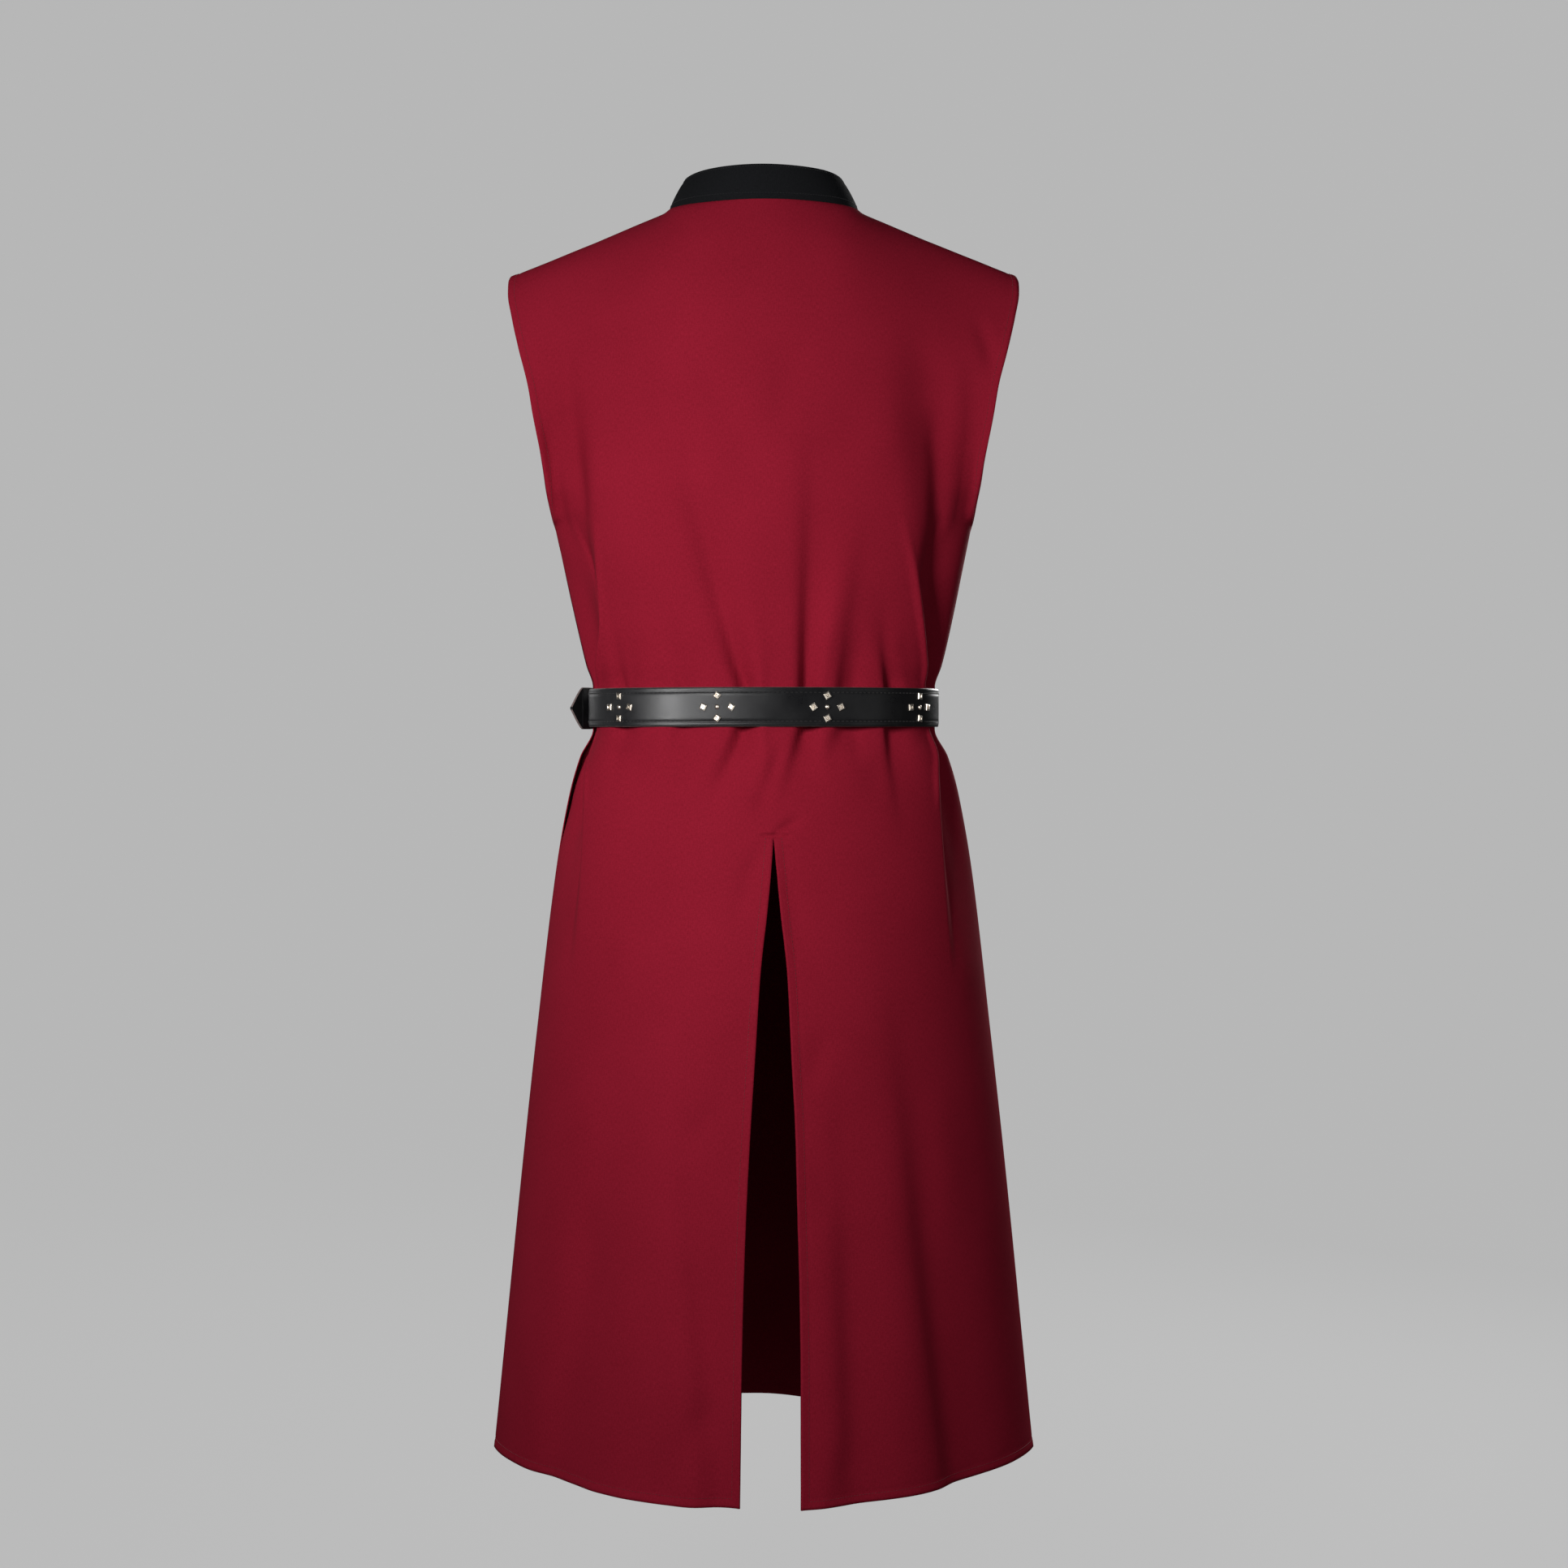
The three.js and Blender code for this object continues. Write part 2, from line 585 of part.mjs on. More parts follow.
// The buckle's frame: a rod bent into a rectangle whose open side stands over the strap.
function frameRod() {
  const { barX, tongueBarX, armZ, corner, rod, barLevel, tongueLevel } = BUCKLE;
  const centres = [
    [barX - corner, armZ - corner, 0],
    [tongueBarX + corner, armZ - corner, 1],
    [tongueBarX + corner, corner - armZ, 2],
    [barX - corner, corner - armZ, 3],
  ];
  const loop = [];
  for (const [x, z, quarter] of centres) {
    for (let k = 0; k <= 4; k++) {
      const turn = HALF_PI * (quarter + k / 4);
      const px = x + corner * Math.cos(turn);
      const level = mix(tongueLevel, barLevel, (px - tongueBarX) / (barX - tongueBarX));
      loop.push(new THREE.Vector3(px, -level, z + corner * Math.sin(turn)));
    }
  }
  const size = 8;
  const rings = loop.map((place, k) => {
    const [before, after] = [loop.at(k - 1), loop[(k + 1) % loop.length]];
    const heading = after.clone().sub(before).normalize();
    const out = new THREE.Vector3(0, -1, 0);
    const across = out.clone().cross(heading).normalize();
    return Array.from({ length: size }, (_, i) => {
      const turn = (2 * Math.PI * i) / size;
      return place
        .clone()
        .addScaledVector(across, rod * Math.cos(turn))
        .addScaledVector(out, rod * Math.sin(turn))
        .toArray();
    });
  });
  const triangles = [];
  for (let k = 0; k < rings.length; k++) {
    for (let i = 0; i < size; i++) {
      const [here, next] = [k * size, ((k + 1) % rings.length) * size];
      const j = (i + 1) % size;
      triangles.push(here + i, here + j, next + j, here + i, next + j, next + i);
    }
  }
  return geometryOf(rings.flat(), triangles);
}

// The prong: a ring round the bar and an arm that goes through the strap and rests on the
// frame's open side. grow widens it, which is how the strap gets its hole.
function prong(grow) {
  const { barX, tongueBarX, barLevel, tongueLevel, rod } = BUCKLE;
  const half = PRONG.half + grow;
  const rest = tongueLevel + rod + SEAM + PRONG.thick / 2;
  const arm = [
    [barX - 2.9, barLevel + 0.9],
    [barX - 9, barLevel + 2.1],
    [2, 8.3],
    [tongueBarX + 6, rest + 0.1],
    [tongueBarX - 4.5, rest - 0.2],
  ];
  const thick = PRONG.thick / 2 + grow;
  const sections = arm.map(([x, level], k) => {
    const thin = k === arm.length - 1 ? 0.7 : 1;
    return [
      [x, -(level - thick * thin), -half * thin],
      [x, -(level + thick * thin), -half * thin],
      [x, -(level + thick * thin), half * thin],
      [x, -(level - thick * thin), half * thin],
    ];
  });
  const ring = tubeUp(EYE.inner, EYE.inner + 1.3, -half, half).translate(barX, -barLevel, 0);
  return solidOf(barThrough(sections)).add(solidOf(ring));
}

// The punched holes of the free end, past the one that the prong is in.
function holePunches() {
  return [34, 59, 84, 109].map((x) => {
    const level = freeLevel(x);
    const punch = new THREE.CylinderGeometry(2.4, 2.4, STRAP.thick * 4, 10);
    return solidOf(punch.applyMatrix4(waistFrame(frontAngle(x), level + STRAP.thick / 2)));
  });
}

function strapWithHoles() {
  const { barX, barLevel } = BUCKLE;
  const half = STRAP.height / 2;
  const eyes = [
    [-half, -EYE.slot],
    [EYE.slot, half],
  ].map(([low, high]) =>
    solidOf(atFront(tubeUp(EYE.inner, EYE.outer, low, high).translate(barX, -barLevel, 0))),
  );
  const notch = new THREE.BoxGeometry(8, STRAP_TOP + 0.2, 2 * EYE.slot);
  notch.translate(barX + 1.5, -STRAP_TOP / 2, 0);
  const cut = solidOf(atFront(notch));
  const clearance = solidOf(atFront(geometryFrom(prong(0.35))));
  let solid = solidOf(strap()).subtract(cut);
  for (const eye of eyes) solid = solid.add(eye);
  for (const punch of [clearance, ...holePunches()]) solid = solid.subtract(punch);
  return geometryFrom(solid);
}

// ---------------------------------------------------------------- studs

// The angle at a distance round the strap's outer face from the middle of the back.
function angleAt(distance) {
  const step = 0.002;
  let [angle, gone] = [0, 0];
  while (gone < Math.abs(distance)) {
    const from = waistPlace(angle, STRAP_TOP);
    angle += step;
    gone += waistPlace(angle, STRAP_TOP).distanceTo(from);
  }
  return Math.sign(distance) * angle;
}

const studPoint = () => new THREE.CylinderGeometry(1.5, 4.3, 2.3, 4).translate(0, 1.15, 0);

function studDome() {
  const profile = [
    [0, 0],
    [2.7, 0],
    [2.5, 0.9],
    [1.5, 1.7],
    [0, 2],
  ].map(([r, y]) => new THREE.Vector2(r, y));
  return new THREE.LatheGeometry(profile, 8);
}

const crossArms = [
  { name: "mid", across: 0, up: 0, make: studDome },
  { name: "top", across: 0, up: STUD.armUp, make: studPoint },
  { name: "low", across: 0, up: -STUD.armUp, make: studPoint },
  { name: "left", across: STUD.armAcross, up: 0, make: studPoint },
  { name: "right", across: -STUD.armAcross, up: 0, make: studPoint },
];

// ---------------------------------------------------------------- the model

const materials = {
  tabard_cloth: new THREE.MeshStandardMaterial({ color: 0x8a1526, roughness: 0.85 }),
  collar_cloth: new THREE.MeshStandardMaterial({ color: 0x1b1d20, roughness: 0.85 }),
  belt_leather: new THREE.MeshStandardMaterial({ color: 0x17181a, roughness: 0.42 }),
  metal: new THREE.MeshStandardMaterial({ color: 0xd8cfc0, roughness: 0.25, metalness: 1 }),
};

const tabard = new THREE.Group();

function place(name, geometry, material, parent = tabard) {
  const mesh = new THREE.Mesh(geometry, materials[material]);
  mesh.name = name;
  parent.add(mesh);
  return mesh;
}

place("back_panel", backPanel(), "tabard_cloth");
place("front_panel", frontPanel(), "tabard_cloth");
place("collar", collar(), "collar_cloth");
place("belt_strap", strapWithHoles(), "belt_leather");
place("buckle_frame", atFront(frameRod()), "metal");
place("buckle_prong", atFront(geometryFrom(prong(0))), "metal");

for (const cross of [-4, -3, -2, -1, 0, 1, 2]) {
  for (const arm of crossArms) {
    const angle = angleAt(STUD.firstAt + cross * STUD.pitch + arm.across);
    const name = `stud_${cross + 5}_${arm.name}`;
    const stud = place(name, arm.make(), "metal");
    stud.applyMatrix4(waistFrame(angle, STRAP_TOP + SEAM));
    stud.position.z += arm.up;
  }
}

export default tabard;
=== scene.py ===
import math

import bmesh
import bpy
import numpy as np
from mathutils import Matrix, Vector


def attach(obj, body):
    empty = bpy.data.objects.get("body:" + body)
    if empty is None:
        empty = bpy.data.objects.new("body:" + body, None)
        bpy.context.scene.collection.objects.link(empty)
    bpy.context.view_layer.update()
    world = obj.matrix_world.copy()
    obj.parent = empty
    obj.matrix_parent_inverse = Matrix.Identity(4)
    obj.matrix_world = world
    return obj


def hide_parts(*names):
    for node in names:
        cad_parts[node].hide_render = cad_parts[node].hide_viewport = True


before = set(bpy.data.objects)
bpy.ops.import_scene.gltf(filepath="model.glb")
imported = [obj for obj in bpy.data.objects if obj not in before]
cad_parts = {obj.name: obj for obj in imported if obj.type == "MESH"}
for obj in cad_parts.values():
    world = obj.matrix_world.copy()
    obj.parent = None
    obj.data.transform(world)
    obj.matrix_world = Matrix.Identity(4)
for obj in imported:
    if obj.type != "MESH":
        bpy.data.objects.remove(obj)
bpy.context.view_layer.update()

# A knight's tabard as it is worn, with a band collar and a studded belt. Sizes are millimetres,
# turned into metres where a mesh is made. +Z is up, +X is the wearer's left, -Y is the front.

MM = 0.001
HALF_PI = math.pi / 2


# ------------------------------------------------------------------ sizes of the form

def columns(names, rows):
    """A short table: each named column as an array, from the top down."""
    return dict(zip(names.split(), np.array(rows, float).T))


CLOTH, SEAM = 1.1, 0.3
UNDERARM_Z, UNDERARM_HALF, HEM_Z = -332, 221, -1306
SHOULDER_X, SHOULDER_Z, SHOULDER_ROUND = 267, -66, 0.35
# the neckline: half its width, its depth to the back and front, and how far it dips there;
# it takes NECK_SHARE of a panel's half width at the top
NECK_HALF, NECK_BACK, NECK_FRONT, NECK_SHARE = 101.6, 84, 100, 0.4
NECK_BACK_DIP, NECK_FRONT_DIP = 2.5, 68
# the collar's upper edge in the same way, its wall, and the gap between its ends
COLLAR_HALF, COLLAR_BACK, COLLAR_FRONT, COLLAR_RISE = 84, 76, 87, 34
COLLAR_BACK_DIP, COLLAR_FRONT_DIP, COLLAR_WALL, COLLAR_GAP = -2, 60, 2.2, 3.2
WAIST_Z, WAIST_HALF, WAIST_BACK, WAIST_FRONT = -524, 182, 120, 126
STRAP_HEIGHT, STRAP_THICK, TIP_LENGTH, TIP_FLARE = 40, 3.2, 17, 2.4
STRAP_STITCH_Z = 14.5
# a turned edge's second layer ends between the first two distances from the edge, its
# stitches run at the third, and every stitch is lifted off the cloth by the last
TURNED, SEWN_IN, STITCH_LIFT = (6, 10), 8, 0.12
STUD_PITCH, FIRST_STUD, ARM_ACROSS, ARM_UP = 113, 47.5, 14.5, 11.5

# How far the middle of the back and of the front stands off the side seams' plane.
SPINE = columns("z back front", [
    (0, NECK_BACK, 84), (-40, 101, 94), (-68, 108, NECK_FRONT), (-110, 115, 116),
    (-200, 122, 129), (UNDERARM_Z, 125, 133), (-440, 125, 132), (-488, 121, 127.5),
    (-502, WAIST_BACK, WAIST_FRONT), (-546, WAIST_BACK, WAIST_FRONT), (-575, 129, 134),
    (-640, 145, 147), (-750, 161, 158), (-900, 178, 172), (-1100, 201, 190),
    (HEM_Z, 220, 205),
])
# The closed body's half width, and how pointed its sides are: 1 is an ellipse.
SIDES = columns("z half point", [
    (UNDERARM_Z, UNDERARM_HALF, 0.9), (-376, 212, 0.9), (-419, 203, 0.92),
    (-479, 189, 0.96), (-502, WAIST_HALF, 1), (-546, WAIST_HALF, 1), (-575, 195.5, 1.02),
    (-616, 207, 1.08), (-703, 222, 1.2), (-858, 240, 1.33), (-1065, 262, 1.43),
    (HEM_Z, 286, 1.5),
])
# The armhole's edge: y is how far each panel's edge stands off the side seams' plane, and
# wider what the edge alone has more of it.
ARMHOLE = columns("z x y wider", [
    (SHOULDER_Z, SHOULDER_X, 0, 0), (-69, 267.6, 9, 0), (-76, 268.7, 19, 0), (-90, 268, 31, 0),
    (-115, 263, 44, 0), (-152, 254, 57, 0), (-190, 244, 63, 0), (-220, 239, 62, 0),
    (-269, 230, 45, 4.5), (-300, 226, 28, 8), (-316, 223.5, 13.5, 10),
    (-326, 221.9, 5.3, 8.5), (UNDERARM_Z, UNDERARM_HALF, 0, 0),
])
# The fold down each side of a panel: the share of the half width at which it drops away.
SIDE_FOLD = columns("z left right depth", [
    (-150, 0.5, 0.42, 0), (-215, 0.54, 0.43, 5), (-314, 0.58, 0.455, 10),
    (-381, 0.615, 0.54, 14), (-440, 0.655, 0.635, 17), (-504, 0.8, 0.755, 16),
    (-545, 0.85, 0.8, 15), (-604, 0.73, 0.7, 13), (-695, 0.645, 0.64, 7),
    (-800, 0.62, 0.615, 0),
])
BACK_SLIT = columns("z left right", [
    (-655, -11, -11), (-694, -8, -15), (-726, -5, -18), (-790, 2, -25), (-869, 7, -29),
    (-948, 12, -33), (-1026, 16, -35), (-1104, 19, -37), (-1182, 21, -38), (HEM_Z, 23, -38),
])
NECK_SLIT = columns("z left right", [(-68, 1.6, -1.6), (-218, 0.6, -0.6)])

GATHER_NAMES = "x depth width up_x up_reach down_x down_reach"
SKIRT_NAMES = "top_x hem_x top_z depth width"

# Gathers at the belt: x of the trough under the belt, depth, width, and where it fades out.
GATHERS = {
    "back": columns(GATHER_NAMES, [
        (20, 11, 11, 84, 260, 44, 85), (-45, 14, 12, -60, 340, -24, 90),
        (-88, 9, 20, -132, 240, -70, 60), (-134, 9, 12, -130, 120, -152, 130),
        (146, 8, 12, 166, 150, 150, 80), (82, 6, 12, 112, 120, 90, 60),
    ]),
    "front": columns(GATHER_NAMES, [
        (34, 10, 10, 70, 210, 52, 80), (-30, 9, 10, -62, 240, -44, 90),
        (92, 6, 12, 118, 150, 104, 70), (-88, 7, 12, -112, 160, -96, 80),
        (138, 5, 10, 150, 110, 150, 90), (-136, 5, 10, -152, 120, -146, 80),
    ]),
}
# Long folds of the skirt, which deepen from top_z to the hem.
SKIRT_FOLDS = {
    "back": columns(SKIRT_NAMES, [
        (120, 214, -760, 9, 26), (82, 40, -800, 13, 26), (-80, -100, -820, 9, 24),
        (-130, -205, -700, 11, 28),
    ]),
    "front": columns(SKIRT_NAMES, [
        (130, 208, -740, 11, 28), (38, 62, -700, 13, 28), (-46, -78, -780, 12, 28),
        (-126, -196, -720, 10, 28),
    ]),
}

# Finer creases. Each is a path of (x, z, depth, width) points on the panel as seen from
# outside, with +x to the left. A negative depth is a ridge.
CREASES = {
    "back": [
        # soft drag lines across the shoulder blades and below the armholes
        [(84, -130, 0, 18), (52, -195, 3, 18), (22, -262, 2.4, 20), (2, -330, 0, 24)],
        [(-30, -120, 0, 20), (-26, -200, 2.4, 20), (-12, -280, 0, 22)],
        [(150, -110, 0, 22), (126, -200, 3, 22), (108, -300, 0, 26)],
        [(196, -136, 0, 12), (206, -172, 3, 12), (202, -230, 6, 14), (194, -295, 8, 13),
         (188, -363, 5, 12), (180, -431, 2, 11), (178, -480, 0, 9)],
        [(182, -546, 6, 7), (187, -560, 8, 8), (194, -583, 8, 8), (203, -625, 6, 10),
         (212, -690, 0, 12)],
        # the deep soft drag from the belt to the left shoulder blade
        [(17, -503, 3, 6), (31, -482, 3.5, 8), (49, -431, 3.5, 12), (58, -363, 3, 14),
         (75, -295, 2.6, 16), (82, -200, 0, 18)],
        [(22, -546, 3, 6), (37, -583, 4.2, 8), (50, -612, 2.6, 12), (58, -650, 0, 14)],
        [(-26, -552, 0, 7), (-12, -582, 3, 8), (0, -616, 2.8, 9), (6, -644, 0, 10)],
        [(-128, -556, 0, 14), (-117, -590, 2.2, 15), (-108, -630, 0, 18)],
        [(168, -180, 0, 20), (172, -260, -2.5, 20), (164, -350, 0, 20)],
        [(-150, -110, 0, 22), (-170, -190, 4, 22), (-172, -290, 3, 22), (-168, -380, 0, 20)],
        [(-216, -112, 0, 9), (-234, -150, 3, 9), (-240, -190, 0, 9)],
        [(-196, -150, 0, 14), (-204, -220, -2, 13), (-204, -280, 0, 14)],
        [(-176, -200, 0, 12), (-186, -270, 5, 12), (-190, -340, 7, 12), (-186, -410, 6, 11),
         (-180, -460, 3, 9), (-178, -500, 0, 8)],
        [(-120, -150, 0, 20), (-126, -240, -2.2, 22), (-124, -330, 0, 24)],
        # between the belt's gathers
        [(4, -503, -3.5, 8), (8, -460, -3, 12), (26, -390, -1.5, 18), (40, -330, 0, 20)],
        [(-57, -503, -3.5, 6), (-62, -465, -3.5, 9), (-74, -410, -2.5, 15), (-84, -340, 0, 20)],
        [(142, -503, -2.5, 6), (146, -470, -1.4, 8), (150, -430, 0, 10)],
        [(100, -503, 1.8, 6), (106, -476, 1.2, 8), (118, -440, 0, 10)],
        [(-96, -503, 2.2, 6), (-98, -472, 1.2, 9), (-104, -430, 0, 12)],
        [(-146, -503, -1.8, 6), (-140, -466, -1.2, 8), (-136, -430, 0, 10)],
        [(2, -546, -3, 8), (0, -580, -2, 10), (-2, -625, 0, 14)],
        [(-58, -546, -2, 7), (-62, -575, -1.2, 9), (-70, -612, 0, 12)],
        [(60, -546, 1.6, 7), (72, -575, 1.2, 9), (90, -620, 0, 14)],
        [(104, -546, -1.4, 6), (108, -570, -0.8, 8), (116, -600, 0, 10)],
        [(-96, -546, 1.4, 6), (-98, -572, 0.8, 8), (-104, -606, 0, 12)],
        # the bar that is sewn across the top of the slit, and the crease that runs on from it
        [(0, -653.5, 2.3, 1.8), (-26, -653.5, 2.3, 1.8)],
        [(0, -649.5, -1.2, 1.8), (-26, -649.5, -1.2, 1.8)],
        [(-14, -650, 2.2, 3.5), (-26, -643, 2.8, 4.5), (-46, -632, 0, 7)],
        [(0, -655, 0, 5), (10, -684, 2.4, 9), (20, -715, 2.2, 12), (34, -775, 0, 16)],
        [(-22, -668, 0, 6), (-34, -730, 1.4, 10), (-44, -800, 0, 16)],
        # broken creases down the skirt
        [(30, -900, 0, 12), (66, -945, 2.6, 12), (80, -985, 0, 14)],
        [(44, -1200, 0, 12), (66, -1228, 3.4, 14), (96, -1290, 2.4, 20)],
        [(88, -1120, 0, 16), (66, -1174, -2.6, 18), (50, -1240, 0, 18)],
        [(-68, -830, 0, 14), (-54, -878, 2.6, 12), (-40, -910, 0, 12)],
        [(-46, -960, 0, 12), (-60, -1000, 1.8, 12), (-66, -1050, 0, 14)],
        [(-176, -880, 0, 16), (-190, -1010, -2.6, 18), (-200, -1130, 0, 20)],
        [(-84, -1240, 0, 12), (-80, -1275, 2.4, 12), (-76, -1310, 2.8, 14)],
        [(186, -990, 0, 14), (182, -1060, 2.2, 16), (186, -1130, 0, 18)],
        [(128, -700, 0, 18), (136, -790, -1.8, 20), (150, -900, 0, 22)],
    ],
    "front": [
        [(70, -140, 0, 16), (46, -215, 1.8, 16), (20, -270, 0, 18)],
        [(-64, -130, 0, 16), (-44, -200, 1.8, 16), (-20, -262, 0, 18)],
        [(160, -120, 0, 20), (140, -220, 1.8, 20), (126, -310, 0, 22)],
        [(-156, -124, 0, 18), (-140, -214, 2, 20), (-130, -300, 0, 22)],
        [(228, -118, 0, 8), (240, -150, 2, 8), (246, -178, 0, 8)],
        [(4, -503, -3, 9), (8, -466, -2, 12), (14, -410, 0, 16)],
        [(62, -503, -2.6, 8), (74, -470, -1.8, 10), (92, -420, 0, 14)],
        [(-58, -503, -2.6, 8), (-66, -470, -1.8, 10), (-84, -424, 0, 14)],
        [(114, -503, 2, 6), (120, -474, 1.2, 8), (130, -436, 0, 10)],
        [(-112, -503, 2, 6), (-118, -474, 1.2, 8), (-124, -436, 0, 10)],
        [(2, -546, -2.6, 9), (4, -580, -1.8, 12), (4, -625, 0, 14)],
        [(68, -546, -2, 7), (74, -576, -1.2, 9), (84, -612, 0, 12)],
        [(-62, -546, -2, 7), (-68, -576, -1.2, 9), (-80, -618, 0, 12)],
        [(118, -546, 1.6, 6), (126, -574, 1, 8), (134, -604, 0, 10)],
        [(-70, -860, 0, 14), (-54, -905, 2.2, 14), (-40, -950, 0, 14)],
        [(84, -960, 0, 12), (64, -1004, 2.4, 14), (52, -1060, 0, 16)],
        [(20, -1120, 0, 16), (-4, -1190, -2.4, 18), (-16, -1260, 0, 18)],
        [(-110, -1180, 0, 14), (-96, -1240, 2.6, 16), (-90, -1306, 2.6, 18)],
        [(126, -1230, 0, 14), (120, -1270, 2.4, 14), (116, -1310, 2.6, 16)],
        [(180, -900, 0, 16), (194, -1010, -2.4, 18), (200, -1120, 0, 20)],
        [(-182, -880, 0, 16), (-190, -990, 2.2, 16), (-200, -1100, 0, 18)],
    ],
}


# ------------------------------------------------------------------ small tools

def smooth(low, high, value):
    """From 0 at low to 1 at high, level at both."""
    t = np.clip((value - low) / (high - low), 0, 1)
    return t * t * (3 - 2 * t)


def mix(a, b, t):
    return a + (b - a) * t


def along(table, name, z):
    """A column of a table at heights z, smooth and without overshoot."""
    drop, value = -table["z"], table[name]
    step = np.diff(drop)
    slope = np.diff(value) / step
    before, after = slope[:-1], slope[1:]
    tangent = np.concatenate([slope[:1], np.zeros(len(before)), slope[-1:]])
    agree = before * after > 0
    total = np.where(agree, before + after, 1)
    tangent[1:-1] = np.where(agree, 2 * before * after / total, 0)
    at = np.clip(-np.asarray(z, float), drop[0], drop[-1])
    k = np.clip(np.searchsorted(drop, at, side="right") - 1, 0, len(step) - 1)
    t = (at - drop[k]) / step[k]
    return (
        value[k] * (2 * t**3 - 3 * t**2 + 1)
        + value[k + 1] * (3 * t**2 - 2 * t**3)
        + step[k] * (tangent[k] * (t**3 - 2 * t**2 + t) + tangent[k + 1] * (t**3 - t**2))
    )


def unit(vectors):
    return vectors / np.maximum(np.linalg.norm(vectors, axis=-1, keepdims=True), 1e-9)


def soft_noise(a, b, seed, waves=7):
    """A smooth uneven field from -1 to 1 over two coordinates in radians."""
    rng = np.random.default_rng(seed)
    total = np.zeros(np.broadcast(a, b).shape)
    for _ in range(waves):
        turn, phase, pace = rng.uniform(0, 2 * math.pi), rng.uniform(0, 6.28), rng.uniform(0.6, 1.6)
        total += np.sin(pace * (a * math.cos(turn) + b * math.sin(turn)) + phase)
    return total / waves**0.5


def link(name, data):
    """A new object of the scene that holds the data."""
    obj = bpy.data.objects.new(name, data)
    bpy.context.scene.collection.objects.link(obj)
    return obj


def ring(radius, height, sides):
    """Points round a circle."""
    turns = [2 * math.pi * k / sides for k in range(sides)]
    return [(radius * math.cos(turn), radius * math.sin(turn), height) for turn in turns]


def ring_faces(rings, sides, closed=False):
    """Four-sided faces between rings of points; closed joins the last ring to the first."""
    faces = []
    for ring in range(rings if closed else rings - 1):
        here, there = ring * sides, (ring + 1) % rings * sides
        for k in range(sides):
            after = (k + 1) % sides
            faces.append((here + k, here + after, there + after, there + k))
    return faces


def run_across(grid):
    """The distance of each point from its row's first point, along the row."""
    step = np.linalg.norm(np.diff(grid, axis=1), axis=-1)
    return np.concatenate([np.zeros((len(grid), 1)), np.cumsum(step, axis=1)], axis=1)


def mesh_object(name, points, faces, material, flat=False, uv=None):
    """An object from points in millimetres and faces; uv holds a pair for each point."""
    mesh = bpy.data.meshes.new(name)
    mesh.from_pydata((np.asarray(points) * MM).tolist(), [], [tuple(face) for face in faces])
    if uv is not None:
        layer = mesh.uv_layers.new(name="cloth")
        corner_points = np.empty(len(mesh.loops), np.int32)
        mesh.loops.foreach_get("vertex_index", corner_points)
        layer.data.foreach_set("uv", np.asarray(uv, np.float32)[corner_points].ravel())
    if not flat:
        mesh.shade_smooth()
    mesh.materials.append(material)
    return link(name, mesh)


def shell(name, points, faces, inward, material, uv):
    """A closed thin wall: the outer faces, the same faces moved inward, and a rim."""
    points, faces = np.asarray(points), np.asarray(faces)
    count = len(points)
    edges = {}
    for a, b in np.concatenate([faces[:, [k, (k + 1) % 4]] for k in range(4)]).tolist():
        if (b, a) in edges:
            del edges[(b, a)]
        else:
            edges[(a, b)] = True
    rim = [(b, a, a + count, b + count) for a, b in edges]
    every = faces.tolist() + (faces[:, ::-1] + count).tolist() + rim
    return mesh_object(name, np.concatenate([points, points + inward]), every, material,
                       uv=np.concatenate([uv, uv]))


class Wire:
    """A socket on which sums can be written."""

    def __init__(self, maker, socket):
        self.maker, self.socket = maker, socket

    def _math(self, operation, *pair):
        return self.maker.node("ShaderNodeMath", {"operation": operation}, dict(enumerate(pair)))

    def __add__(self, other):
        return self._math("ADD", self, other)

    def __mul__(self, other):
        return self._math("MULTIPLY", self, other)

    def wave(self, pitch):
        """From 0 to 1 and back over each pitch."""
        return self._math("SINE", self * (2 * math.pi / pitch)) * 0.5 + 0.5

    def beside(self, name):
        """Another output of the same node."""
        return Wire(self.maker, self.socket.node.outputs[name])


class Nodes:
    """A tree, and the one way in which its nodes are made."""

    def __init__(self, tree):
        self.tree = tree

    def node(self, kind, settings=None, values=None, out=0):
        """One node: its settings first, then the values or wires of its sockets."""
        node = self.tree.nodes.new(kind)
        for key, value in (settings or {}).items():
            setattr(node, key, value)
        for key, value in (values or {}).items():
            if isinstance(value, Wire):
                self.tree.links.new(value.socket, node.inputs[key])
            else:
                node.inputs[key].default_value = value
        return Wire(self, node.outputs[out]) if len(node.outputs) else None


# ------------------------------------------------------------------ materials

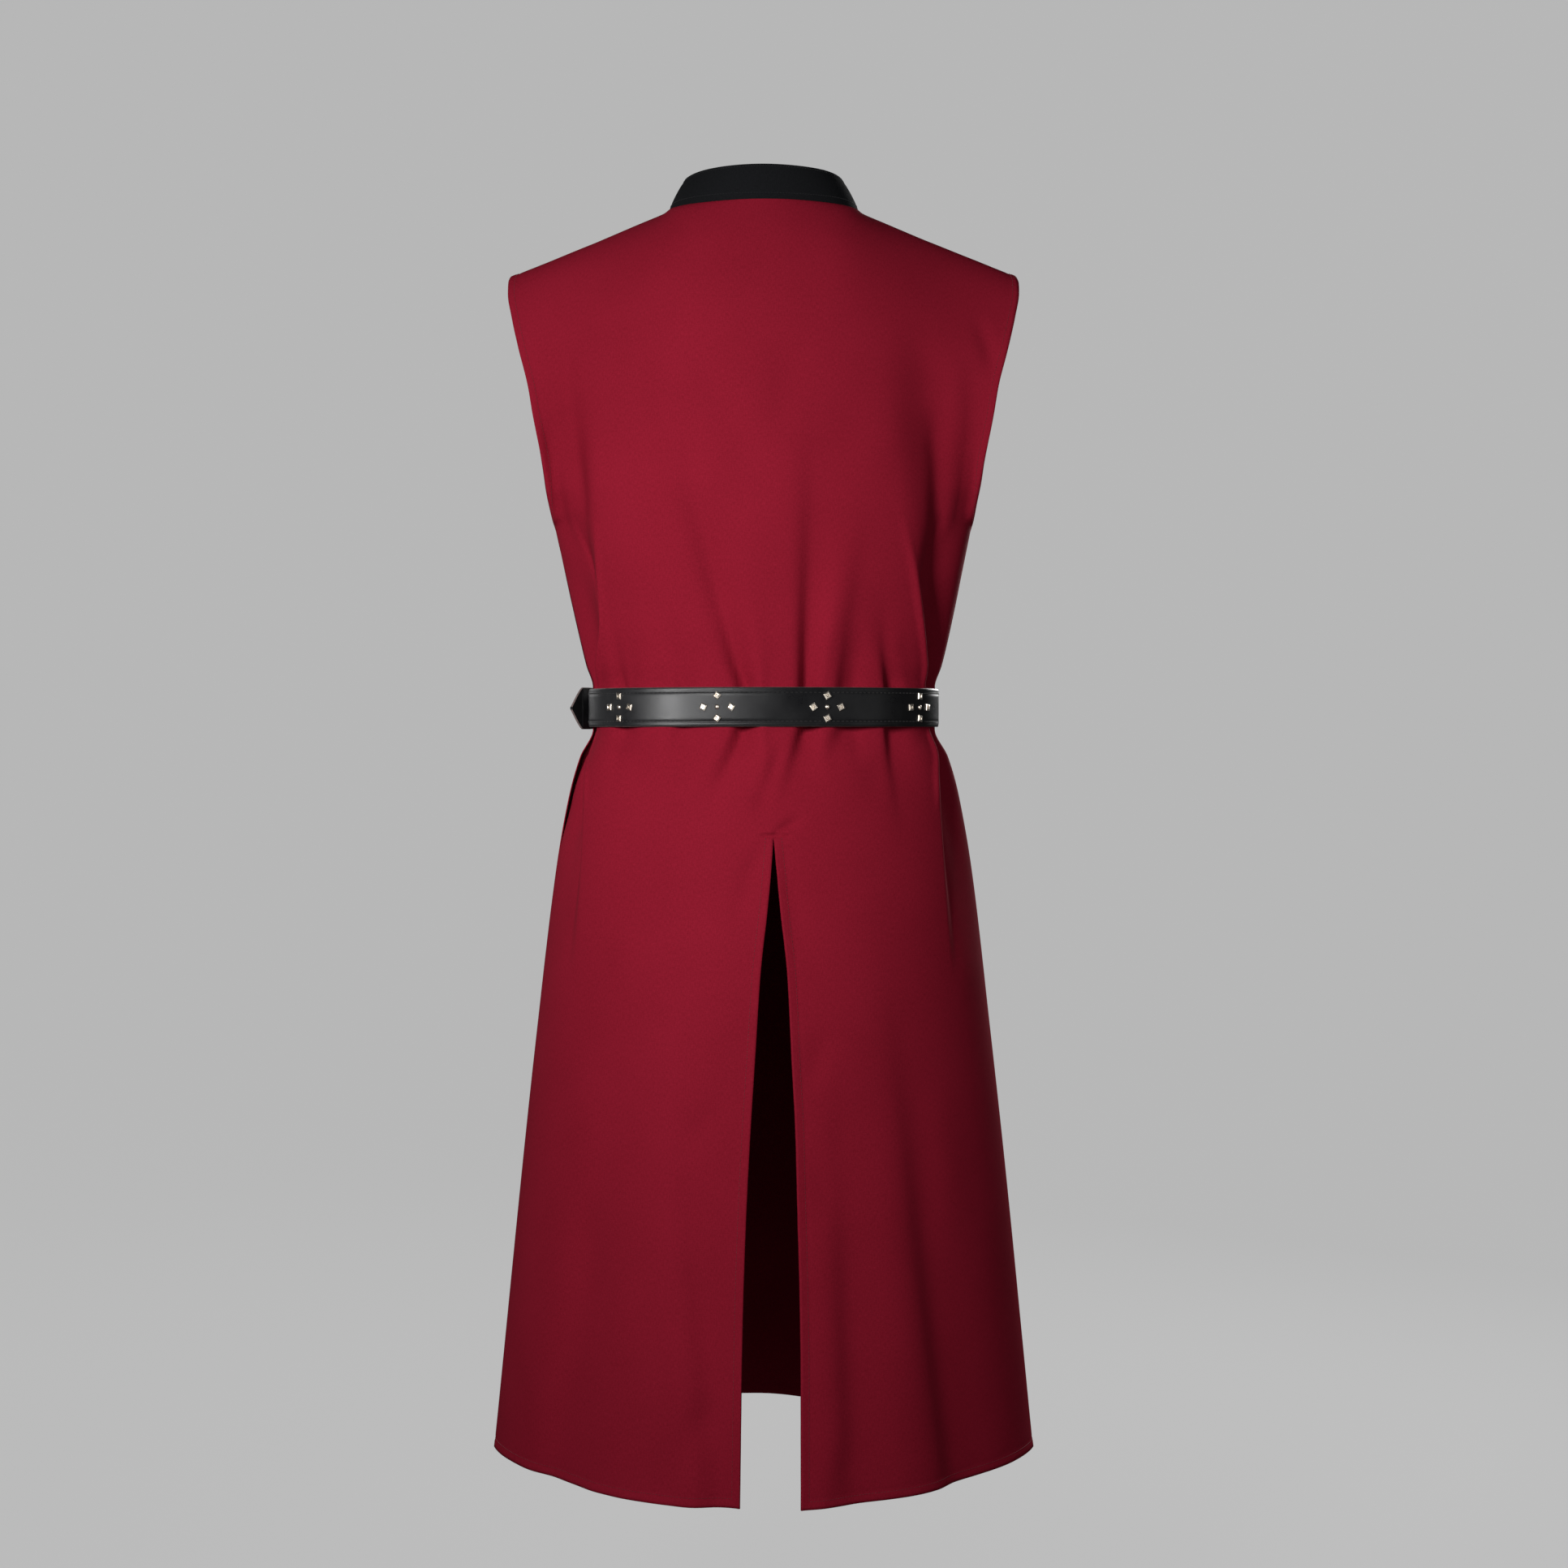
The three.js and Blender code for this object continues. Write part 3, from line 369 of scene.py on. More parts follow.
class Finish(Nodes):
    """A material and the nodes that make it."""

    def __init__(self, name, **constants):
        self.material = bpy.data.materials.new(name)
        self.material.use_nodes = True
        super().__init__(self.material.node_tree)
        self.shader = self.tree.nodes["Principled BSDF"]
        for socket, value in constants.items():
            self.shader.inputs[socket.replace("_", " ")].default_value = value

    def place(self):
        return self.node("ShaderNodeTexCoord", out="Object")

    def scaled(self, wire, scale):
        return self.node("ShaderNodeMapping", None, {"Vector": wire, "Scale": scale})

    def noise(self, wire, scale, detail, rough=0.5):
        values = {"Vector": wire, "Scale": scale, "Detail": detail, "Roughness": rough}
        return self.node("ShaderNodeTexNoise", None, values, out="Fac")

    def blend(self, factor, first, second):
        values = {"Factor": factor, 6: first, 7: second}
        return self.node("ShaderNodeMix", {"data_type": "RGBA"}, values, out=2)

    def ramp(self, wire, *stops):
        """Two stops, each a place and a colour."""
        ramp = self.node("ShaderNodeValToRGB", None, {"Fac": wire}, out="Color")
        for element, (place, colour) in zip(ramp.socket.node.color_ramp.elements, stops):
            element.position, element.color = place, rgba(*colour)
        return ramp

    def bump(self, height, distance, strength, under=None):
        values = {"Height": height, "Distance": distance, "Strength": strength}
        if under is not None:
            values["Normal"] = under
        return self.node("ShaderNodeBump", None, values)

    def feed(self, socket, wire):
        self.tree.links.new(wire.socket, self.shader.inputs[socket])


def rgba(red, green, blue):
    return (red, green, blue, 1.0)


def twill(name, deep, bright, sheen):
    """Woven cloth: a fine twill line, uneven yarns, a slight nap and a broad unevenness."""
    weave = 0.0007
    cloth = Finish(name, Specular_IOR_Level=0.03, Sheen_Weight=sheen, Sheen_Roughness=0.5)
    cloth.shader.inputs["Sheen Tint"].default_value = rgba(*bright)
    place = cloth.node("ShaderNodeUVMap", {"uv_map": "cloth"})
    across, down = (cloth.node("ShaderNodeSeparateXYZ", None, {0: place}, axis) for axis in (0, 1))
    line = (across + down).wave(weave)
    yarns = across.wave(weave * 0.5) * down.wave(weave * 0.5)
    slubs = cloth.noise(cloth.scaled(place, (900, 260, 1)), 1.0, 3, 0.6)
    warp = cloth.noise(cloth.scaled(place, (260, 1100, 1)), 1.0, 3, 0.6)
    broad = cloth.noise(cloth.place(), 9.0, 3, 0.55)
    tone = slubs * 0.42 + warp * 0.3 + line * 0.1 + broad * 0.18
    shade = cloth.ramp(tone, (0.3, deep), (0.7, bright))
    cloth.feed("Base Color", shade)
    cloth.feed("Roughness", tone * 0.12 + 0.8)
    weave_bump = cloth.bump(line * 0.6 + yarns * 0.4, 0.00012, 0.5)
    cloth.feed("Normal", cloth.bump(slubs * 0.5 + warp * 0.5, 0.00025, 0.45, weave_bump))
    return cloth.material


def thread(name, colour):
    strand = Finish(name, Sheen_Weight=0.2, Specular_IOR_Level=0.3)
    twist = strand.noise(strand.place(), 2500.0, 1)
    dark = rgba(*[c * 0.6 for c in colour])
    strand.feed("Base Color", strand.blend(twist, dark, rgba(*colour)))
    strand.feed("Roughness", twist * 0.2 + 0.6)
    return strand.material


def belt_leather():
    hide = Finish("belt_leather", Specular_IOR_Level=0.16)
    place = hide.place()
    pores = hide.node("ShaderNodeTexVoronoi", {"feature": "DISTANCE_TO_EDGE"},
                      {"Vector": place, "Scale": 1500.0})
    grain = hide.noise(place, 700.0, 4, 0.6)
    wear = hide.noise(place, 38.0, 4, 0.6)
    deep, worn = (0.004, 0.004, 0.0045), (0.011, 0.011, 0.0115)
    hide.feed("Base Color", hide.ramp(wear, (0.25, deep), (0.8, worn)))
    hide.feed("Roughness", wear * 0.12 + grain * 0.08 + 0.2)
    height = hide.ramp(pores, (0.0, (0, 0, 0)), (0.12, (1, 1, 1)))
    fine = hide.bump(height, 0.00006, 0.35)
    hide.feed("Normal", hide.bump(grain, 0.00022, 0.35, fine))
    return hide.material


def cut_edge():
    """The strap's burnished edges, a little lighter and browner than its face."""
    edge = Finish("strap_edge", Specular_IOR_Level=0.2)
    fibres = edge.noise(edge.scaled(edge.place(), (300, 300, 2600)), 1.0, 4, 0.7)
    deep, pale = (0.035, 0.027, 0.026), (0.13, 0.095, 0.09)
    edge.feed("Base Color", edge.ramp(fibres, (0.3, deep), (0.75, pale)))
    edge.feed("Roughness", fibres * 0.25 + 0.35)
    edge.feed("Normal", edge.bump(fibres, 0.0002, 0.4))
    return edge.material


def nickel(name, tint, rough):
    metal = Finish(name, Metallic=1.0)
    place = metal.place()
    tarnish = metal.noise(place, 420.0, 3, 0.6)
    scratch = metal.noise(metal.scaled(place, (900, 900, 4200)), 1.0, 2, 0.5)
    dull = rgba(*[c * 0.72 for c in tint])
    metal.feed("Base Color", metal.blend(tarnish, dull, rgba(*tint)))
    metal.feed("Roughness", tarnish * 0.16 + scratch * 0.1 + rough)
    metal.feed("Normal", metal.bump(scratch, 0.00003, 0.3))
    return metal.material


def studio(name, shade, glow):
    """Seamless paper with a faint fibre, lit evenly."""
    paper = Finish(name, Roughness=0.9, Specular_IOR_Level=0.05)
    fibre = paper.noise(paper.place(), 60.0, 3)
    low, high = rgba(*[shade * 0.97] * 3), rgba(*[shade * 1.03] * 3)
    paper.feed("Base Color", paper.blend(fibre, low, high))
    paper.shader.inputs["Emission Color"].default_value = rgba(glow, glow, glow)
    paper.shader.inputs["Emission Strength"].default_value = 1.0
    return paper.material


RED = twill("tabard_cloth", (0.180, 0.0060, 0.0155), (0.315, 0.0125, 0.032), 0.035)
BLACK = twill("collar_cloth", (0.0065, 0.0068, 0.0075), (0.0135, 0.014, 0.0155), 0.03)
RED_THREAD = thread("tabard_thread", (0.20, 0.010, 0.022))
BLACK_THREAD = thread("belt_thread", (0.017, 0.016, 0.016))
COLLAR_THREAD = thread("collar_thread", (0.014, 0.014, 0.016))
LEATHER = belt_leather()
EDGE = cut_edge()
STUD_METAL = nickel("stud_metal", (0.78, 0.70, 0.60), 0.12)
BUCKLE_METAL = nickel("buckle_metal", (0.72, 0.70, 0.66), 0.14)


# ------------------------------------------------------------------ front and back panels

def neckline(angle):
    """The neckline from the middle of the back (0) to the middle of the front (pi)."""
    c = np.cos(angle)
    depth = np.where(c > 0, NECK_BACK, NECK_FRONT)
    dip = np.where(c > 0, NECK_BACK_DIP, NECK_FRONT_DIP)
    return np.stack([NECK_HALF * np.sin(angle), depth * c, -dip * c * c], axis=-1)


def yoke(name, side, t):
    """Points between the shoulder and the underarm, at share t of the drop."""
    angle = HALF_PI * np.clip(side / NECK_SHARE, 0, 1)
    rim = neckline(angle if name == "back" else math.pi - angle)
    out = np.clip((side - NECK_SHARE) / (1 - NECK_SHARE), 0, 1)
    top_x = np.where(side < NECK_SHARE, rim[..., 0], mix(NECK_HALF, SHOULDER_X, out))
    top_z = np.where(side < NECK_SHARE, rim[..., 2], SHOULDER_Z * out)
    middle_top = -NECK_BACK_DIP if name == "back" else -NECK_FRONT_DIP

    arm_z = mix(SHOULDER_Z, UNDERARM_Z, t)
    edge_x, edge_y = along(ARMHOLE, "x", arm_z), along(ARMHOLE, "y", arm_z)
    edge_drift = (edge_x - SHOULDER_X) / (UNDERARM_HALF - SHOULDER_X)
    drift = mix(t, edge_drift, smooth(NECK_SHARE, 1, side))
    middle_y = along(SPINE, name, mix(middle_top, UNDERARM_Z, t))

    open_form = 1 - np.sin(HALF_PI * side) ** 2.2
    closed_form = np.maximum(np.cos(HALF_PI * side), 0) ** 0.9
    body_form = mix(open_form, closed_form, smooth(0.6, 1, t))
    down = np.clip(t / SHOULDER_ROUND, 0, 1)
    roll = np.sqrt(np.maximum(1 - (1 - down) ** 2, 0))
    within = np.clip(side / (NECK_SHARE + 0.4 * down), 0, 1)
    neck = np.maximum(np.cos(HALF_PI * within), 0) ** (1 + 0.9 * np.clip(4 * down, 0, 1))
    y = mix(edge_y, middle_y, mix(neck, body_form, roll))
    y += along(ARMHOLE, "wider", arm_z) * smooth(0.86, 1, side)
    x = mix(top_x, UNDERARM_HALF * np.sin(HALF_PI * side), drift)
    return np.stack(np.broadcast_arrays(x, y, mix(top_z, UNDERARM_Z, t)), axis=-1)


def body(name, side, z):
    """Points of the closed body at height z."""
    closed = np.maximum(np.cos(HALF_PI * side), 0) ** along(SIDES, "point", z)
    x = along(SIDES, "half", z) * np.sin(HALF_PI * side)
    return np.stack(np.broadcast_arrays(x, along(SPINE, name, z) * closed, z), axis=-1)


def crease_depth(path, x, z):
    """How far a crease presses the cloth in at points x, z."""
    path = np.array(path, float)
    best = np.full(x.shape, 1e9)
    found = np.zeros(x.shape)
    for start, end in zip(path[:-1], path[1:]):
        step = end[:2] - start[:2]
        share = np.clip(((x - start[0]) * step[0] + (z - start[1]) * step[1]) / (step @ step), 0, 1)
        off = np.hypot(x - start[0] - share * step[0], z - start[1] - share * step[1])
        depth, width = (mix(start[k], end[k], smooth(0, 1, share)) for k in (2, 3))
        here = depth * np.exp(-((off / width) ** 2))
        nearer = off < best
        best, found = np.where(nearer, off, best), np.where(nearer, here, found)
    return found


def fold(name, u, x, z):
    """How far the belt's gathers, the skirt's folds and the creases move the cloth out."""
    side = np.abs(u)
    top, bottom = WAIST_Z + STRAP_HEIGHT / 2, WAIST_Z - STRAP_HEIGHT / 2
    edge = np.where(u > 0, along(SIDE_FOLD, "left", z), along(SIDE_FOLD, "right", z))
    within, room = side - edge, 1 - edge
    wall = np.maximum(room * mix(0.11, 0.5, smooth(-420, -300, z)), 0.05)
    depth = along(SIDE_FOLD, "depth", z)
    groove = smooth(0, wall, within) * (1 - smooth(wall + 0.15 * room, room, within))
    # on the left above the belt the cloth falls straight back from the fold to the seam
    straight = np.sin(math.pi * np.clip(within / room, 0, 1))
    groove = mix(groove, straight, (u > 0) * smooth(-330, -400, z) * (z > WAIST_Z))
    out = -depth * groove
    # the pressed fold itself stands up a little, with a tight line in its foot
    crisp = smooth(-300, -400, z) * smooth(-640, -600, z)
    crisp = crisp * (1 - np.exp(-((z - WAIST_Z) / 26) ** 4))
    out += 0.2 * crisp * depth * np.exp(-((within + 0.012) / 0.018) ** 2)
    out -= 0.1 * crisp * depth * np.exp(-((within - wall) / 0.02) ** 2)
    for x0, depth, width, up_x, up_reach, down_x, down_reach in zip(*GATHERS[name].values()):
        above = np.clip((z - top) / up_reach, 0, 1)
        below = np.clip((bottom - z) / down_reach, 0, 1)
        away = np.maximum(above, below)
        middle = mix(x0, np.where(above > 0, up_x, down_x), away)
        lean = mix(1.5, 0.65, smooth(-1, 1, (x - middle) / width))
        spread = width * (0.75 + np.where(above > 0, 2.2, 1.7) * away) * lean
        out -= depth * (1 - away) ** 1.3 * np.exp(-((x - middle) / spread) ** 2)
    for top_x, hem_x, top_z, depth, width in zip(*SKIRT_FOLDS[name].values()):
        t = np.clip((z - top_z) / (HEM_Z - top_z), 0, 1)
        middle = mix(top_x, hem_x, t)
        lean = mix(1.4, 0.8, smooth(-1, 1, (x - middle) / width))
        out -= depth * smooth(0, 0.8, t) * np.exp(-((x - middle) / (width * lean)) ** 2)
    for path in CREASES[name]:
        out -= crease_depth(path, x, z)
    seed = 3 if name == "back" else 8
    quiet = 1 - 0.8 * np.exp(-((z - WAIST_Z) / 30) ** 2)
    out += 0.35 * quiet * soft_noise(x / 24, z / 60, seed)
    return out


TOWARDS_UNDERARM = mix(np.linspace(0, 1, 37), np.sin(HALF_PI * np.linspace(0, 1, 37)), 0.6)
YOKE_SHARES = np.concatenate([
    SHOULDER_ROUND * (1 - np.cos(HALF_PI * np.linspace(0, 1, 22))),
    mix(SHOULDER_ROUND, 1, TOWARDS_UNDERARM[1:]),
])
BODY_LEVELS = np.concatenate([
    np.linspace(top, bottom, count)[1:] for top, bottom, count in (
        (UNDERARM_Z, -430, 20), (-430, -500, 25), (-500, -548, 10), (-548, -640, 30),
        (-640, -662, 13), (-662, -700, 7), (-700, -1270, 60), (-1270, HEM_Z, 13),
    )
])
YOKE_ROWS = len(YOKE_SHARES)
HALF_COLUMNS = 100


def column_shares():
    """Places of the columns from the middle (0) to the side (1), closest along the side folds."""
    fine = np.linspace(0, 1, 2001)
    density = 1 + 1.3 * np.exp(-((fine - 0.66) / 0.17) ** 2) + 1.2 * np.exp(-(fine / 0.05) ** 2)
    total = np.cumsum(density)
    return np.interp(np.linspace(total[0], total[-1], HALF_COLUMNS + 1), total, fine)


COLUMN_SHARES = column_shares()


class Panel:
    """The front or the back: two half grids that are one cloth except along its slit."""

    def __init__(self, name, slit, slit_is_above):
        self.name, self.slit, self.slit_is_above = name, slit, slit_is_above
        self.shares = {}
        self.base = {sign: self.lay(sign) for sign in (1, -1)}
        self.crease()
        self.merge()

    def lay(self, sign):
        """One half of the smooth form, from its middle or slit to its side."""
        side = moved = COLUMN_SHARES[None, :]
        edge_name = "left" if sign > 0 else "right"
        body_z = BODY_LEVELS[:, None]
        upper = yoke(self.name, side, YOKE_SHARES[:, None])
        if self.slit_is_above:
            at_edge = np.abs(along(self.slit, edge_name, upper[:, :1, 2]))
            at_edge = np.where(upper[:, :1, 2] < self.slit["z"][-1], 0, at_edge)
            upper[..., 0] += at_edge * (1 - side) ** 6
        else:
            x_edge = sign * along(self.slit, edge_name, body_z)
            start = np.arcsin(x_edge / along(SIDES, "half", body_z)) / HALF_PI
            moved = side + start * smooth(-430, -600, body_z) * (1 - side) ** 2
        lower = body(self.name, moved, body_z)
        self.ease(upper)
        grid = np.concatenate([upper, lower])
        self.shares[sign] = sign * np.concatenate([
            np.broadcast_to(side, upper.shape[:2]), np.broadcast_to(moved, lower.shape[:2]),
        ])
        grid[..., 0] *= sign
        grid[..., 1] = np.maximum(grid[..., 1], 0)
        return grid

    def ease(self, upper):
        """Let the cloth run softly from the neckline's ends into the shoulders."""
        share = COLUMN_SHARES[None, 1:-1]
        near_top = smooth(0, 0.12, YOKE_SHARES) * (1 - smooth(0.3, 0.95, YOKE_SHARES))
        soft = near_top[:, None] * np.exp(-((share - 0.45) / 0.16) ** 2)
        for _ in range(160):
            level = (upper[:, :-2] + upper[:, 2:]) / 2 - upper[:, 1:-1]
            upper[:, 1:-1] += 0.9 * soft[..., None] * level

    def normals(self, grids):
        """Which way is out at each point, the same on both halves where they join."""
        found = {}
        for sign, grid in grids.items():
            down = np.gradient(grid, axis=0)
            across = np.gradient(grid, axis=1) * sign
            found[sign] = unit(np.cross(across, down))
        joined = self.joined_rows()
        middle = unit(found[1][:, 0] + found[-1][:, 0])
        for sign in grids:
            found[sign][joined, 0] = middle[joined]
            found[sign][0, COLUMN_SHARES >= NECK_SHARE, 1] = 0
            found[sign][YOKE_ROWS - 1:, -1, 1] = 0
            found[sign] = unit(found[sign])
        return found

    def joined_rows(self):
        """The rows in which the two halves meet, which are those beyond the slit."""
        z = self.base[1][:, 0, 2]
        if self.slit_is_above:
            return z < self.slit["z"][-1]
        return z > self.slit["z"][0] - 0.01

    def crease(self):
        """Move the smooth form out and in by its folds, creases and edges."""
        outward = self.normals(self.base)
        self.outer = {}
        for sign, grid in self.base.items():
            x, z = grid[..., 0], grid[..., 2]
            far = fold(self.name, self.shares[sign], x, z) + self.edge_form(grid)
            moved = grid + outward[sign] * far[..., None]
            moved[..., 1] = np.maximum(moved[..., 1], 0)
            self.outer[sign] = moved
        joined = self.joined_rows()
        middle = (self.outer[1][:, 0] + self.outer[-1][:, 0]) / 2
        for sign in self.outer:
            self.outer[sign][joined, 0] = middle[joined]
        self.outward = self.normals(self.outer)

    def edge_gap(self, grid):
        """The distance to the nearest free edge, and to the hem, the armhole and the slit."""
        hem = grid[..., 2] - HEM_Z
        run = run_across(grid)
        arm = np.full(hem.shape, 1e3)
        arm[:YOKE_ROWS] = (run[:, -1:] - run)[:YOKE_ROWS]
        slit = np.where(self.joined_rows()[:, None], 1e3, run)
        return np.minimum(np.minimum(hem, arm), slit), hem, arm, slit

    def edge_form(self, grid):
        """Turned edges, the line that their stitching pulls in, and the groove of the side seam."""
        near, hem, _, slit = self.edge_gap(grid)
        raised = 0.55 * (1 - smooth(*TURNED, near))
        sewn_line = -0.5 * np.exp(-((near - SEWN_IN) / 1.6) ** 2)
        run = grid[..., 2] + grid[..., 0]
        pucker = 0.24 * np.exp(-near / 14) * soft_noise(run / 7.5, near / 40, 21, 5)
        slit_end = self.slit["z"][-1] if self.slit_is_above else self.slit["z"][0]
        curl = 1.8 * np.exp(-slit / 5) * smooth(0, 32, np.abs(grid[..., 2] - slit_end))
        seam = np.full(hem.shape, 1e3)
        seam[YOKE_ROWS - 1:] = run_across(grid[:, ::-1])[YOKE_ROWS - 1:, ::-1]
        return raised + sewn_line + pucker + curl + -0.7 * np.exp(-((seam / 2.5) ** 2))

    def merge(self):
        """Join the halves into one list of points, faces, wall thicknesses and cloth places."""
        rows, half = self.outer[1].shape[:2]
        ids = {1: np.arange(rows * half).reshape(rows, half)}
        ids[-1] = ids[1] + rows * half
        joined = self.joined_rows()
        ids[-1][joined, 0] = ids[1][joined, 0]
        faces = []
        for sign in (1, -1):
            a, b = ids[sign][:-1, :-1], ids[sign][:-1, 1:]
            c, d = ids[sign][1:, 1:], ids[sign][1:, :-1]
            quads = np.stack([a, b, c, d] if sign > 0 else [a, d, c, b], axis=-1)
            faces.append(quads.reshape(-1, 4))
        points, normals = (
            np.concatenate([both[sign].reshape(-1, 3) for sign in (1, -1)])
            for both in (self.outer, self.outward)
        )
        thickness, uv = [], []
        for sign in (1, -1):
            grid = self.base[sign]
            near = self.edge_gap(grid)[0]
            thickness.append((CLOTH + 0.7 * (1 - smooth(*TURNED, near))).reshape(-1))
            run = sign * run_across(grid) + grid[:, :1, 0]
            fall = np.linalg.norm(np.diff(grid[:, 0], axis=0), axis=-1)
            fall = -np.concatenate([[0], np.cumsum(fall)])[:, None] + 0 * run
            uv.append(np.stack([run, fall], axis=-1).reshape(-1, 2) * MM)
        used = np.unique(np.concatenate(faces))
        new_id = np.full(len(points), -1)
        new_id[used] = np.arange(len(used))
        self.faces = new_id[np.concatenate(faces)]
        self.points = points[used]
        self.inward = (-normals * np.concatenate(thickness)[:, None])[used]
        self.uv = np.concatenate(uv)[used]

    def turn(self, array):
        """The front is laid out like a back, and is then turned to face the front."""
        return array * np.array([-1, -1, 1]) if self.name == "front" else array

    def object(self, name, material):
        return shell(name, self.turn(self.points), self.faces, self.turn(self.inward),
                     material, self.uv)

    def point(self, sign, row, column):
        """A stitch's place at a row and column, which may be fractions."""
        grid = self.outer[sign] + self.outward[sign] * STITCH_LIFT
        r, c = np.clip(row, 0, len(grid) - 1.001), np.clip(column, 0, HALF_COLUMNS - 0.001)
        r0, c0 = int(r), int(c)
        top = mix(grid[r0, c0], grid[r0, c0 + 1], c - c0)
        low = mix(grid[r0 + 1, c0], grid[r0 + 1, c0 + 1], c - c0)
        return self.turn(mix(top, low, r - r0))

    def edge_path(self, kind, sign, inset):
        """A line at a distance inside the hem, the slit or the armhole."""
        _, _, arm, slit = self.edge_gap(self.base[sign])
        every = np.arange(HALF_COLUMNS + 1)
        if kind == "hem":
            z = (self.outer[sign] + self.outward[sign] * STITCH_LIFT)[:, 0, 2]
            row = np.interp(-(HEM_Z + inset), -z, np.arange(len(z)))
            return [self.point(sign, row, c) for c in every if slit[int(row), c] > inset]
        path = []
        gap = slit if kind == "slit" else arm
        for row in np.flatnonzero(gap.min(axis=1) < 1):
            if self.base[sign][row, 0, 2] < HEM_Z + inset:
                continue
            if kind == "slit":
                column = np.interp(inset, gap[row], every)
            else:
                column = HALF_COLUMNS - np.interp(inset, gap[row][::-1], every)
            path.append(self.point(sign, row, column))
        return path


back = Panel("back", BACK_SLIT, slit_is_above=False)
front = Panel("front", NECK_SLIT, slit_is_above=True)
back_cloth = back.object("back_cloth", RED)
front_cloth = front.object("front_cloth", RED)


# ------------------------------------------------------------------ repeated things by nodes

def node_tool(name, sockets, build):
    """A geometry tree with named inputs; build makes what lies between input and output."""
    tree = bpy.data.node_groups.new(name, "GeometryNodeTree")
    for label, kind, value in [("Geometry", "NodeSocketGeometry", None), *sockets]:
        socket = tree.interface.new_socket(label, in_out="INPUT", socket_type=kind)
        if value is not None:
            socket.default_value = value
    tree.interface.new_socket("Geometry", in_out="OUTPUT", socket_type="NodeSocketGeometry")
    node = Nodes(tree).node
    given = node("NodeGroupInput").beside
    whole = node("GeometryNodeRealizeInstances", None, {0: build(node, given)})
    finished = node("GeometryNodeSetMaterial", None,
                    {"Geometry": whole, "Material": given("Material")})
    node("NodeGroupOutput", None, {0: finished})
    return tree


def scattered(node, given, points, thing, facing, tilt, scale):
    """The thing on every point, turned as the point faces and a little further by chance."""
    limits = {"Min": [-angle for angle in tilt], "Max": tilt, "Seed": given("Seed")}
    uneven = node("FunctionNodeRandomValue", {"data_type": "FLOAT_VECTOR"}, limits)
    turn = node("FunctionNodeRotateRotation", {"rotation_space": "LOCAL"}, {0: facing, 1: uneven})
    return node("GeometryNodeInstanceOnPoints", None,
                {"Points": points, "Instance": thing, "Rotation": turn, "Scale": scale})


def repeat_on(name, source, tree, values):
    """Run a tree on a helper object and keep its result as a plain mesh."""
    modifier = source.modifiers.new("tool", "NODES")
    modifier.node_group = tree
    for item in tree.interface.items_tree:
        if item.in_out == "INPUT" and item.name in values:
            modifier[item.identifier] = values[item.name]
    evaluated = source.evaluated_get(bpy.context.evaluated_depsgraph_get())
    mesh = bpy.data.meshes.new_from_object(evaluated)
    mesh.name = name
    source.modifiers.remove(modifier)
    bpy.data.objects.remove(source)
    mesh.materials.clear()
    mesh.materials.append(values["Material"])
    return link(name, mesh)


def sewing_nodes(node, given):
    """A small rounded stitch at every pitch along each line."""
    curve = node("GeometryNodeMeshToCurve", None, {0: given("Geometry")})
    points = node("GeometryNodeCurveToPoints", {"mode": "LENGTH"},
                  {"Curve": curve, "Length": given("Pitch")}, "Points")
    stitch = node("GeometryNodeMeshUVSphere", None,
                  {"Segments": 5, "Rings": 4, "Radius": 1.0}, "Mesh")
    size = node("ShaderNodeCombineXYZ", None,
                {0: given("Thickness"), 1: given("Thickness"), 2: given("Half length")})
    facing = points.beside("Rotation")
    return scattered(node, given, points, stitch, facing, (0.07, 0.07, 0.07), size)


SEWING = node_tool("sewing", [
    ("Pitch", "NodeSocketFloat", 0.0032),
    ("Half length", "NodeSocketFloat", 0.0012),
    ("Thickness", "NodeSocketFloat", 0.00028),
    ("Seed", "NodeSocketInt", 4),
    ("Material", "NodeSocketMaterial", None),
], sewing_nodes)


def helper(name, points, edges=()):
    """An object of bare points or lines, in metres, for a tree to work on."""
    mesh = bpy.data.meshes.new(name)
    mesh.from_pydata(points, edges, [])
    return link(name, mesh)


def sewn(name, lines, material, pitch=3.2, length=2.3, thickness=0.3, seed=4):
    """Stitches along lines of points in millimetres."""
    points, edges = [], []
    for line in lines:
        first = len(points)
        points += [list(np.asarray(p) * MM) for p in line]
        edges += [(first + k, first + k + 1) for k in range(len(line) - 1)]
    return repeat_on(name, helper(name + "_line", points, edges), SEWING, {
        "Pitch": pitch * MM, "Half length": length / 2 * MM, "Thickness": thickness * MM,
        "Seed": seed, "Material": material,
    })


def edge_stitches(panel, slit_inset, seed):
    """The stitching of a panel's hem, slit and armholes."""
    insets = (("hem", SEWN_IN), ("slit", slit_inset), ("armhole", 7))
    lines = [panel.edge_path(kind, sign, inset) for kind, inset in insets for sign in (1, -1)]
    return sewn(panel.name + "_stitches", lines, RED_THREAD, seed=seed)


back_stitches = edge_stitches(back, SEWN_IN, 4)
front_stitches = edge_stitches(front, 4, 9)


# ------------------------------------------------------------------ collar

